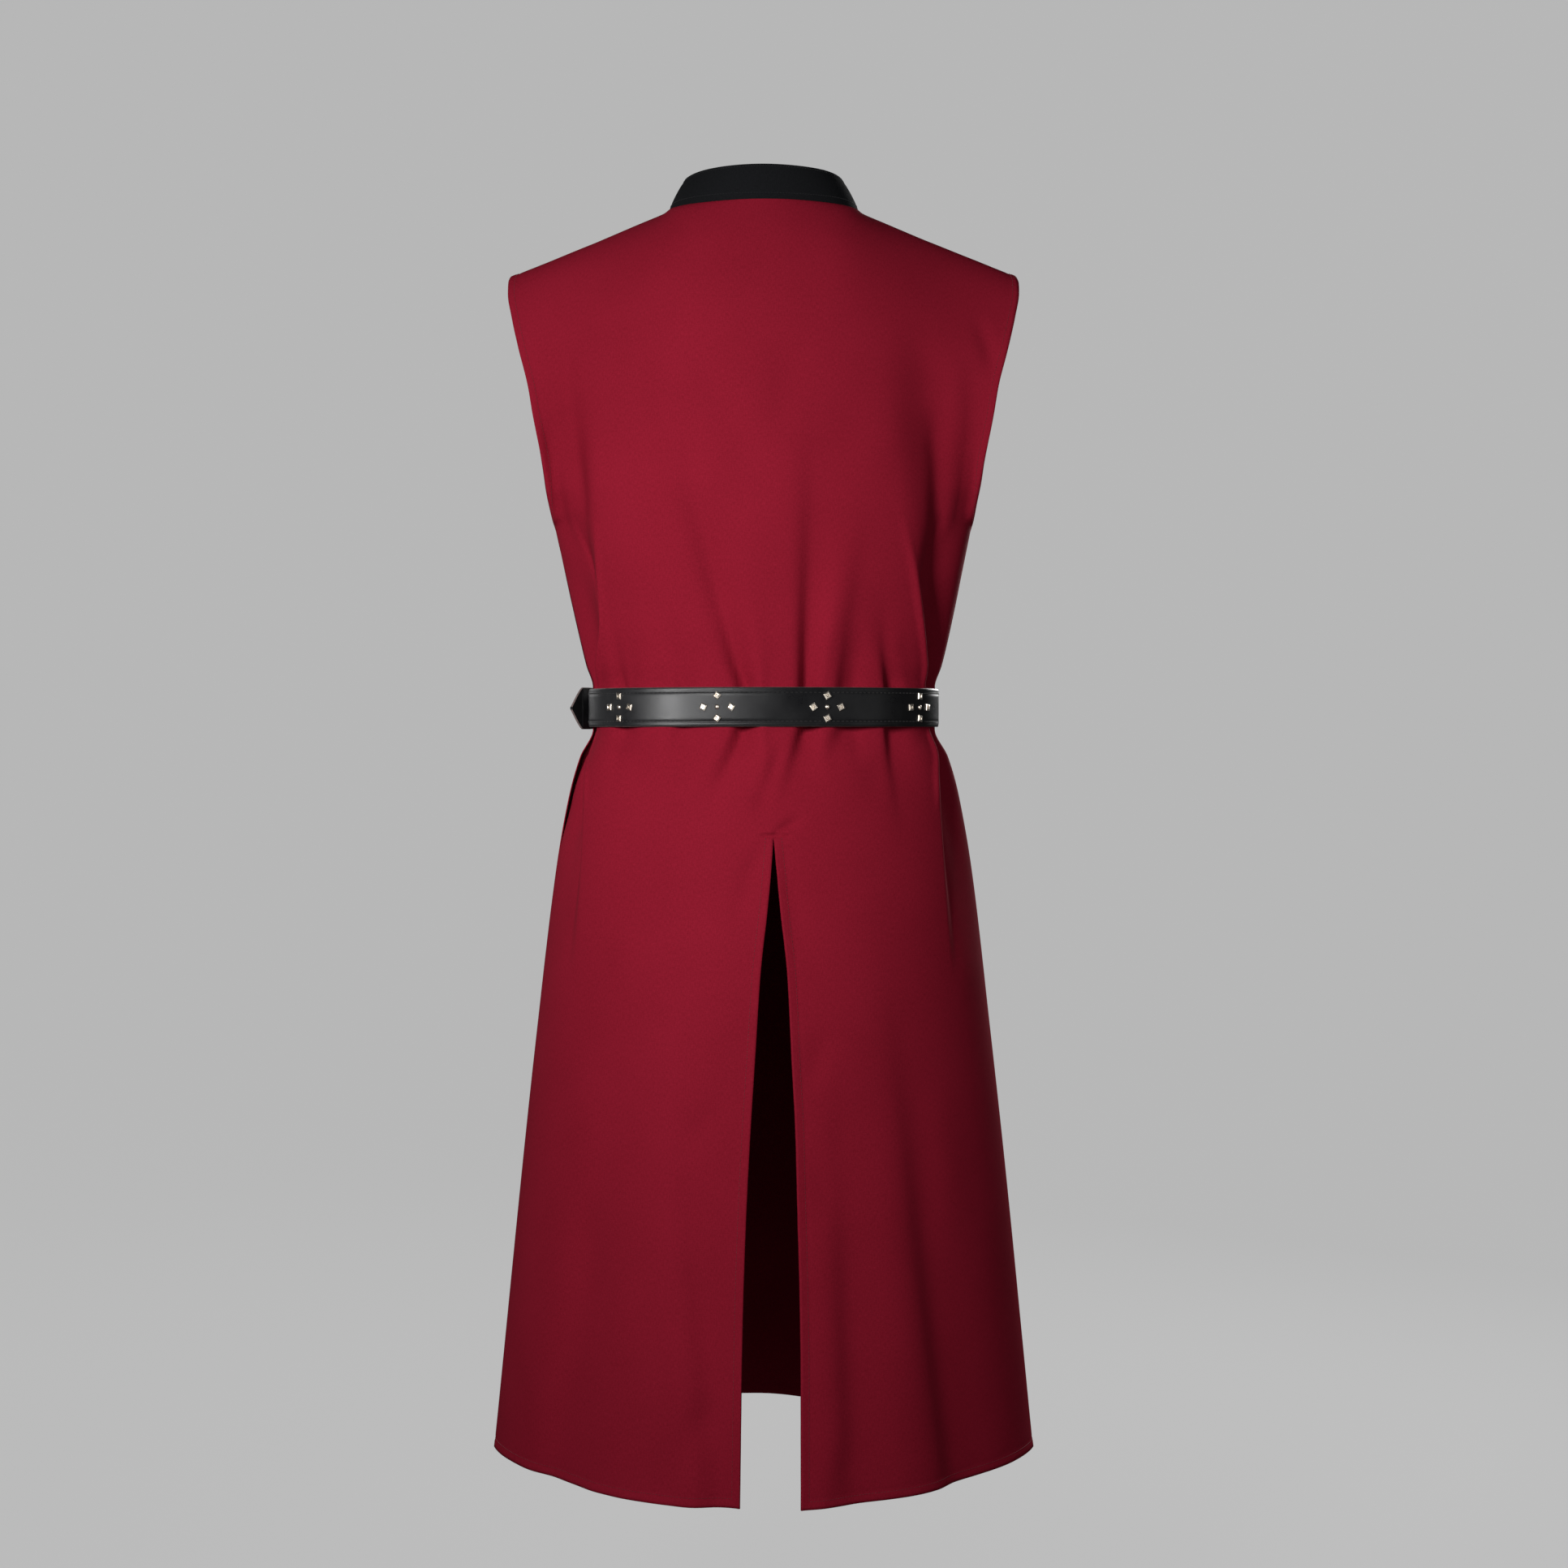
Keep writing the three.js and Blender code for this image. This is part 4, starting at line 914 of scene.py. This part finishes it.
def collar_shell():
    """A doubled band with a rolled upper edge that leans in from the neckline."""
    end = math.pi - math.asin(COLLAR_GAP / 2 / NECK_HALF)
    angles = np.linspace(-end, end, 181)
    low = neckline(np.abs(angles))
    low[:, 0] = NECK_HALF * np.sin(angles)
    c = np.cos(angles)
    depth = np.where(c > 0, COLLAR_BACK, COLLAR_FRONT)
    dip = np.where(c > 0, COLLAR_BACK_DIP, COLLAR_FRONT_DIP)
    high = np.stack([COLLAR_HALF * np.sin(angles), depth * c, COLLAR_RISE - dip * c * c], axis=-1)
    low += unit(high - low) * 0.2
    # from the top down; the last two are the seam's allowance, turned down inside the neckline
    height = np.array(
        [1.0, 0.98, 0.94, 0.88, 0.78, 0.64, 0.48, 0.32, 0.18, 0.08, 0.03, 0, -0.004, -0.16]
    )[:, None]
    inside = height < 0
    bow = 1.1 * np.sin(math.pi * height) - 0.35 * np.exp(-((height - 0.1) / 0.04) ** 2)
    bow = np.where(inside, -1.9, bow - 0.25 * np.exp(-((height - 0.9) / 0.04) ** 2))
    grid = mix(low[None], high[None], height[..., None])
    normal = unit(np.cross(np.gradient(grid, axis=1), np.gradient(grid, axis=0)))
    wave = 0.35 * soft_noise(angles[None, :] * 5, height * 1.2, 31, 5)
    wave = np.where(inside, 0, wave)
    grid = grid + normal * (bow + wave)[..., None]
    rows, cols = grid.shape[:2]
    ids = np.arange(rows * cols).reshape(rows, cols)
    quads = np.stack([ids[:-1, :-1], ids[:-1, 1:], ids[1:, 1:], ids[1:, :-1]], axis=-1)
    thick = COLLAR_WALL - 1.0 * np.exp(-((height - 1) / 0.05) ** 2) + 0 * wave
    thick = np.where(inside, 0.35, thick)
    run = run_across(grid[-1:])
    uv = np.stack(np.broadcast_arrays(run, height * 38), axis=-1) * MM
    obj = shell("collar_band", grid.reshape(-1, 3), quads.reshape(-1, 4),
                (-normal * thick[..., None]).reshape(-1, 3), BLACK, uv.reshape(-1, 2))
    lines = [
        [grid[row, k] + normal[row, k] * 0.1 for k in range(2, cols - 2)]
        for row in (2, rows - 6)
    ]
    return obj, sewn("collar_stitches", lines, COLLAR_THREAD, 3.0, 2.2, 0.22, 6)


collar_band, collar_stitches = collar_shell()


# ------------------------------------------------------------------ belt

def waist_place(angle, level):
    """A point round the waist: 0 is the middle of the back, pi / 2 the wearer's left."""
    depth = WAIST_BACK if math.cos(angle) > 0 else WAIST_FRONT
    out = Vector((depth * math.sin(angle), WAIST_HALF * math.cos(angle), 0)).normalized()
    return Vector((WAIST_HALF * math.sin(angle), depth * math.cos(angle), WAIST_Z)) + out * level


# the buckle: its bar on the wearer's left, the side that the tongue rests on, the rod's
# radius, how far the two sides stand off the cloth, and the bend at the corners
BAR_X, TONGUE_X, ROD, BAR_LEVEL, TONGUE_LEVEL, CORNER = 19, -17, 2, 4.2, 5.8, 2.4
ARM_Z = STRAP_HEIGHT / 2 + 0.4 + ROD
EYE_INNER, EYE_OUTER = ROD + SEAM, ROD + SEAM + 1.6
OVER_EYE = BAR_LEVEL + EYE_OUTER + SEAM
OVERLAP_LEVEL = SEAM + STRAP_THICK + SEAM + 0.1


def front_angle(x):
    return math.pi - math.asin(x / WAIST_HALF)


def free_level(x):
    """How far the strap's free end stands off the cloth beside and over the buckle."""
    if x < BAR_X:
        return float(mix(SEAM, OVER_EYE, smooth(-9, 13, x)))
    return float(mix(OVER_EYE, OVERLAP_LEVEL, smooth(25, 62, x)))


def strap_line():
    """The strap's inner face from the buckle's bar round the waist to its free tip."""
    start, meet = front_angle(BAR_X + EYE_INNER + 0.3), -front_angle(20)
    line = [waist_place(mix(start, meet, k / 230), SEAM) for k in range(231)]
    line += [waist_place(front_angle(x), free_level(x)) for x in np.arange(-18.8, 64.1, 1.2)]
    last, leave = front_angle(64) - 2 * math.pi, math.radians(-235)
    line += [waist_place(mix(last, leave, k / 36), OVERLAP_LEVEL) for k in range(1, 37)]
    heading = (line[-1] - line[-2]).normalized()
    for step in [4] * 3 + [3.5] * 12 + [2] * 4 + [1] * 18:
        heading = Matrix.Rotation(0.16 * step / 80, 3, "Z") @ heading
        line.append(line[-1] + heading * step)
    return line


def strap_grid():
    """Sections of the strap, the distance along it and its frame at each section."""
    line = np.array([tuple(p) for p in strap_line()])
    gone = np.concatenate([[0], np.cumsum(np.linalg.norm(np.diff(line, axis=0), axis=-1))])
    heading = unit(np.gradient(line, axis=0))
    out = np.stack([heading[:, 1], -heading[:, 0], 0 * gone], axis=-1)
    left = gone[-1] - gone
    full = STRAP_HEIGHT / 2 + TIP_FLARE * smooth(60, 25, left)
    half = 1.5 + (full - 1.5) * (1 - (1 - np.clip(left / TIP_LENGTH, 0, 1)) ** 1.25)
    return line, gone, out, half


STRAP_LINE, STRAP_RUN, STRAP_OUT, STRAP_HALF = strap_grid()


def strap_point(run, z, level):
    """A point at a distance along the strap, at height z and a level above its inner face."""
    spot = np.array([np.interp(run, STRAP_RUN, STRAP_LINE[:, k]) for k in range(3)])
    out = np.array([np.interp(run, STRAP_RUN, STRAP_OUT[:, k]) for k in range(3)])
    return spot + unit(out) * level + np.array([0, 0, z])


def strap_mesh():
    """The strap with bevelled edges and a pressed line inside each of them."""
    # (distance inside the edge, level) from the lower edge's inner face round to the upper
    face = [
        (0.5, 0.0), (0.0, 0.5), (0.0, 2.0), (0.35, 2.5), (1.0, 2.75), (3.2, 3.15), (3.6, 3.0),
        (4.0, 3.2), (5.1, 3.2), (5.5, 2.95), (5.9, 3.2), (9.0, 3.2),
    ]
    profile = [(-1, inset, level) for inset, level in face]
    profile += [(1, inset, level) for inset, level in reversed(face)]
    size = len(profile)
    points = []
    for line, out, half in zip(STRAP_LINE, STRAP_OUT, STRAP_HALF):
        for sign, inset, level in profile:
            z = sign * max(half - inset, 0.0) if half > 9.2 else sign * half * (1 - inset / 9.6)
            points.append(line + out * level + np.array([0, 0, z]))
    faces = [(b, a, d, c) for a, b, c, d in ring_faces(len(STRAP_LINE), size)]
    around = len(faces)
    faces.append(tuple(range(size)))
    faces.append(tuple((len(STRAP_LINE) - 1) * size + i for i in reversed(range(size))))
    obj = mesh_object("belt", points, faces, LEATHER)
    obj.data.materials.append(EDGE)
    for index in range(around):
        if index % size in (0, 1, 2, size - 4, size - 3, size - 2):
            obj.data.polygons[index].material_index = 1
    return obj


def cylinder_between(start, end, radius, sides=20):
    """A helper cylinder, in metres, for punching."""
    axis = Vector(end) - Vector(start)
    bpy.ops.mesh.primitive_cylinder_add(vertices=sides, radius=radius, depth=axis.length)
    obj = bpy.context.object
    turn = axis.to_track_quat("Z", "Y").to_matrix().to_4x4()
    obj.data.transform(Matrix.Translation((Vector(start) + Vector(end)) / 2) @ turn)
    obj.matrix_world = Matrix.Identity(4)
    return obj


def cut_by(obj, cutters):
    """Cut helpers out of a piece and apply the result."""
    for cutter in cutters:
        modifier = obj.modifiers.new("punch", "BOOLEAN")
        modifier.operation, modifier.solver, modifier.object = "DIFFERENCE", "EXACT", cutter
    evaluated = obj.evaluated_get(bpy.context.evaluated_depsgraph_get())
    mesh = bpy.data.meshes.new_from_object(evaluated)
    obj.modifiers.clear()
    obj.data = mesh
    for cutter in cutters:
        bpy.data.objects.remove(cutter)


def hole_cutters():
    """Punches for the free end's spare holes, and for the hole that the prong is in."""
    punches = [(x, x, 1.0, 2, 2.4) for x in (34, 59, 84, 109)] + [(6, 2, 4, 4, 3.0)]
    cutters = []
    for low_x, high_x, under, over, radius in punches:
        low = waist_place(front_angle(low_x), free_level(low_x) - under)
        high = waist_place(front_angle(high_x), free_level(high_x) + STRAP_THICK + over)
        cutters.append(cylinder_between(low * MM, high * MM, radius * MM))
    return cutters


belt = strap_mesh()
cut_by(belt, hole_cutters())
sharp = belt.modifiers.new("corners", "EDGE_SPLIT")
sharp.split_angle = math.radians(50)


def belt_sewing():
    """Dashed stitching inside both edges, which draws together towards the tip."""
    level = STRAP_THICK - 0.02
    end = STRAP_RUN[-1] - 20
    lines = [
        [strap_point(run, sign * STRAP_STITCH_Z, level) for run in np.arange(6, end, 3.0)]
        for sign in (-1, 1)
    ]
    tip_run = np.linspace(end, STRAP_RUN[-1] - 7.5, 12)
    room = np.maximum(np.interp(tip_run, STRAP_RUN, STRAP_HALF) - 5.5, 0.4)
    tip_z = np.minimum(STRAP_STITCH_Z, room)
    lines += [
        [strap_point(run, sign * z, level) for run, z in zip(tip_run, tip_z)]
        for sign in (-1, 1)
    ]
    return sewn("belt_stitches", lines, BLACK_THREAD, 4.8, 3.3, 0.55, 2)


belt_stitches = belt_sewing()


def tube(name, centres, radius, material, closed, sides=16):
    """A round rod through points; radius may be one for each point."""
    centres = np.asarray(centres, float)
    count = len(centres)
    radii = np.broadcast_to(radius, (count,))
    ahead = np.roll(centres, -1, axis=0) if closed else np.vstack([centres[1:], centres[-1:]])
    behind = np.roll(centres, 1, axis=0) if closed else np.vstack([centres[:1], centres[:-1]])
    heading = unit(ahead - behind)
    side = unit(np.cross(heading, np.array([0.0, -1.0, 0.0])))
    up = np.cross(side, heading)
    turn = np.linspace(0, 2 * math.pi, sides, endpoint=False)
    rings = [
        c + r * (np.outer(np.cos(turn), s) + np.outer(np.sin(turn), u))
        for c, r, s, u in zip(centres, radii, side, up)
    ]
    faces = ring_faces(count, sides, closed)
    if not closed:
        faces.append(tuple(reversed(range(sides))))
        faces.append(tuple((count - 1) * sides + i for i in range(sides)))
    obj = mesh_object(name, np.concatenate(rings), faces, material)
    # turn every face of the skin outwards
    skin = bmesh.new()
    skin.from_mesh(obj.data)
    bmesh.ops.recalc_face_normals(skin, faces=skin.faces)
    skin.to_mesh(obj.data)
    skin.free()
    return obj


def on_corner(x, z, quarter):
    """A point of a buckle corner's bend, at a number of quarter turns."""
    turn = HALF_PI * quarter
    return np.array([x + CORNER * math.cos(turn), z + CORNER * math.sin(turn)])


def buckle():
    """A rectangular frame of rod and a prong that turns round its bar."""
    centre = np.array([0, -WAIST_FRONT, WAIST_Z])
    corners = [
        (BAR_X - CORNER, ARM_Z - CORNER, 0), (TONGUE_X + CORNER, ARM_Z - CORNER, 1),
        (TONGUE_X + CORNER, CORNER - ARM_Z, 2), (BAR_X - CORNER, CORNER - ARM_Z, 3),
    ]
    loop = []
    for index, (x, z, quarter) in enumerate(corners):
        loop += [on_corner(x, z, quarter + k / 8) for k in range(9)]
        ahead = on_corner(*corners[(index + 1) % 4])
        for left in range(8, 1, -1):
            loop.append(mix(loop[-1], ahead, 1 / left))
    rise = [mix(TONGUE_LEVEL, BAR_LEVEL, (x - TONGUE_X) / (BAR_X - TONGUE_X)) for x, _ in loop]
    path = [centre + np.array([x, -level, z]) for (x, z), level in zip(loop, rise)]
    rod = tube("buckle_rod", path, ROD, BUCKLE_METAL, closed=True)

    rest = TONGUE_LEVEL + ROD + SEAM + 1.3
    knots = np.array([
        (BAR_X + 1.2, BAR_LEVEL - EYE_INNER - 0.9), (BAR_X + 3.1, BAR_LEVEL - 1.0),
        (BAR_X + 2.6, BAR_LEVEL + 1.9), (BAR_X - 0.2, BAR_LEVEL + 3.2),
        (BAR_X - 9, BAR_LEVEL + 3.3), (2, 8.3), (TONGUE_X + 6, rest + 0.1),
        (TONGUE_X - 4.0, rest - 0.2),
    ])
    fine = np.linspace(0, len(knots) - 1, 60)
    bend = np.array([np.interp(fine, np.arange(len(knots)), knots[:, k]) for k in (0, 1)])
    for _ in range(4):
        bend[:, 1:-1] = (bend[:, :-2] + 2 * bend[:, 1:-1] + bend[:, 2:]) / 4
    thin = 1.5 - 0.45 * smooth(0.8, 1.0, np.linspace(0, 1, 60))
    prong = tube("buckle_tongue", [centre + np.array([x, -level, 0]) for x, level in bend.T],
                 thin, BUCKLE_METAL, closed=False)
    return rod, prong


buckle_rod, buckle_tongue = buckle()


# ------------------------------------------------------------------ studs

def stud_shapes():
    """A faceted nail head for the arms of a cross, and a small dome for its middle."""
    shapes = []
    # rings from the strap upwards, as radius at the corners and height; then the corner count
    for rings, sides in (
        ([(4.7, 0.0), (4.8, 0.5), (4.6, 1.1), (2.9, 1.7), (2.2, 1.8), (1.8, 1.6), (1.2, 0.5)], 4),
        ([(2.7, 0.0), (2.7, 0.35), (2.45, 0.9), (1.9, 1.45), (1.1, 1.85), (0.45, 2.0)], 12),
    ):
        points = [point for radius, height in rings for point in ring(radius, height, sides)]
        faces = ring_faces(len(rings), sides)
        faces.append(tuple(range((len(rings) - 1) * sides, len(rings) * sides)))
        faces.append(tuple(reversed(range(sides))))
        shapes.append(mesh_object("stud_shape", points, faces, STUD_METAL, flat=True))
    bevel = shapes[0].modifiers.new("soften", "BEVEL")
    bevel.width, bevel.segments = 0.16 * MM, 2
    for polygon in shapes[1].data.polygons[:-1]:
        polygon.use_smooth = True
    return shapes


def stud_nodes(node, given):
    """The stud shape on every point, turned the way that the point faces."""
    shape = node("GeometryNodeObjectInfo", {"transform_space": "RELATIVE"},
                 {"Object": given("Stud")}, "Geometry")
    facing = node("GeometryNodeInputNamedAttribute", {"data_type": "FLOAT_VECTOR"},
                  {"Name": "facing"}, "Attribute")
    align = node("FunctionNodeAlignRotationToVector", {"axis": "Z"}, {"Vector": facing})
    tilt = (0.06, 0.06, 0.12)
    return scattered(node, given, given("Geometry"), shape, align, tilt, given("Scale"))


STUDDING = node_tool("studding", [
    ("Stud", "NodeSocketObject", None),
    ("Scale", "NodeSocketFloat", 1.0),
    ("Seed", "NodeSocketInt", 5),
    ("Material", "NodeSocketMaterial", None),
], stud_nodes)


def run_at_back(distance):
    """The distance along the strap of a place to the wearer's left of the middle of the back."""
    round_waist = STRAP_LINE[:230]
    middle = np.argmin(np.abs(round_waist[:, 0]) - (round_waist[:, 1] > 0) * 1e3)
    # the studs are spaced on the strap's outer face, which is a little longer than its inner one
    return STRAP_RUN[middle] - distance * 0.985


def studs():
    """Four faceted heads round one dome, at every cross."""
    head, dome = stud_shapes()
    arms = [(0, ARM_UP), (0, -ARM_UP), (ARM_ACROSS, 0), (-ARM_ACROSS, 0)]
    made = []
    for name, shape, places, seed in (
        ("stud_heads", head, arms, 5),
        ("stud_domes", dome, [(0, 0)], 7),
    ):
        spots, ways = [], []
        for cross in range(-4, 3):
            for along_belt, up in places:
                run = run_at_back(FIRST_STUD + cross * STUD_PITCH + along_belt)
                here = strap_point(run, up, STRAP_THICK + 0.05)
                spots.append(list(here * MM))
                ways += list(unit(here - strap_point(run, up, 0)))
        source = helper(name + "_spots", spots)
        attribute = source.data.attributes.new("facing", "FLOAT_VECTOR", "POINT")
        attribute.data.foreach_set("vector", ways)
        made.append(repeat_on(name, source, STUDDING, {
            "Stud": shape, "Scale": 1.0, "Seed": seed, "Material": STUD_METAL,
        }))
    for shape in (head, dome):
        bpy.data.objects.remove(shape)
    return made


stud_heads, stud_domes = studs()


# ------------------------------------------------------------------ stage, light and camera

def stage():
    """A round pale floor that sweeps up into a wall on every side; it glows, but lights nothing."""
    radius, floor, sweep, wall_top, sides = 8.0, -1.62, 2.5, 7.0, 96
    profile = [(0.02, floor), (radius - sweep, floor)]
    for k in range(1, 13):
        turn = HALF_PI * k / 12
        reach = radius - sweep * (1 - math.sin(turn))
        profile.append((reach, floor + sweep * (1 - math.cos(turn))))
    profile.append((radius, wall_top))
    points = [point for reach, z in profile for point in ring(reach / MM, z / MM, sides)]
    faces = [(a, d, c, b) for a, b, c, d in ring_faces(len(profile), sides)]
    faces.append(tuple(range(sides)))
    obj = mesh_object("floor", points, faces, studio("seamless_paper", 0.06, 0.468))
    obj.visible_diffuse = obj.visible_glossy = False


def area_light(name, place, aim, size, power, spread=180, only=None):
    """A rectangular lamp that no view shows; only names the pieces that it lights."""
    lamp = bpy.data.lights.new(name, "AREA")
    lamp.shape, lamp.size, lamp.size_y = "RECTANGLE", size[0], size[1]
    lamp.energy, lamp.spread = power, math.radians(spread)
    obj = link(name, lamp)
    obj.location = place
    obj.rotation_euler = (Vector(aim) - Vector(place)).to_track_quat("-Z", "Y").to_euler()
    obj.visible_camera = False
    if only:
        obj.light_linking.receiver_collection = bpy.data.collections.new(name + "_receivers")
        for piece in only:
            obj.light_linking.receiver_collection.objects.link(piece)


stage()
area_light("key", (0.72, 1.65, -0.12), (0.05, 0.1, -0.5), (0.5, 0.5), 11, spread=110)
area_light("belt_shine", (0.70, 0.69, -0.5), (0.09, 0.1, -0.52), (0.06, 0.36), 11, only=[belt])
for number, place in enumerate([
    (1.3, 1.9, 0.5), (1.3, 1.9, -1.2), (-0.3, 3.0, -0.2), (-1.3, 1.9, 0.5), (-1.3, 1.9, -1.2),
]):
    area_light(f"studs_{number}", place, (0.0, 0.1, -0.52), (1.4, 1.4), 8,
               only=[stud_heads, stud_domes])
area_light("fill", (-2.0, 1.6, -0.3), (0.0, 0.1, -0.6), (1.0, 1.4), 5)
area_light("front_key", (-1.2, -1.9, 0.1), (0.0, -0.1, -0.5), (0.6, 0.6), 36)
area_light("front_fill", (1.8, -2.0, 0.2), (0.0, 0.0, -0.6), (1.0, 1.4), 7)

world = bpy.data.worlds.new("studio_air")
world.use_nodes = True
world.node_tree.nodes["Background"].inputs["Color"].default_value = rgba(0.80, 0.81, 0.83)
world.node_tree.nodes["Background"].inputs["Strength"].default_value = 0.10
bpy.context.scene.world = world
bpy.context.scene.view_settings.view_transform = "Standard"

lens = bpy.data.cameras.new("camera")
lens.sensor_width, lens.lens, lens.shift_y = 36, 55.6, -0.0316
lens.clip_start, lens.clip_end = 0.05, 50
camera = link("camera", lens)
camera.location = (-0.0215, 2.57, -0.552)
camera.rotation_euler = (HALF_PI, 0, math.pi)
bpy.context.scene.camera = camera


# ------------------------------------------------------------------ pieces and bodies

CROSSES, ARMS = range(1, 8), ("top", "low", "left", "right")
heads = [f"stud_{cross}_{arm}" for cross in CROSSES for arm in ARMS]
domes = [f"stud_{cross}_mid" for cross in CROSSES]

for piece, slot, nodes in (
    (back_cloth, "tabard_cloth", ["back_panel"]),
    (front_cloth, "tabard_cloth", ["front_panel"]),
    (collar_band, "collar_cloth", ["collar"]),
    (belt, "belt_leather", ["belt_strap"]),
    (buckle_rod, "buckle_metal", ["buckle_frame"]),
    (buckle_tongue, "buckle_metal", ["buckle_prong"]),
    (stud_heads, "stud_metal", heads),
    (stud_domes, "stud_metal", domes),
    (back_stitches, "tabard_cloth", []),
    (front_stitches, "tabard_cloth", []),
    (collar_stitches, "collar_cloth", []),
    (belt_stitches, "belt_leather", []),
):
    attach(piece, "root")
    if nodes:
        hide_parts(*nodes)
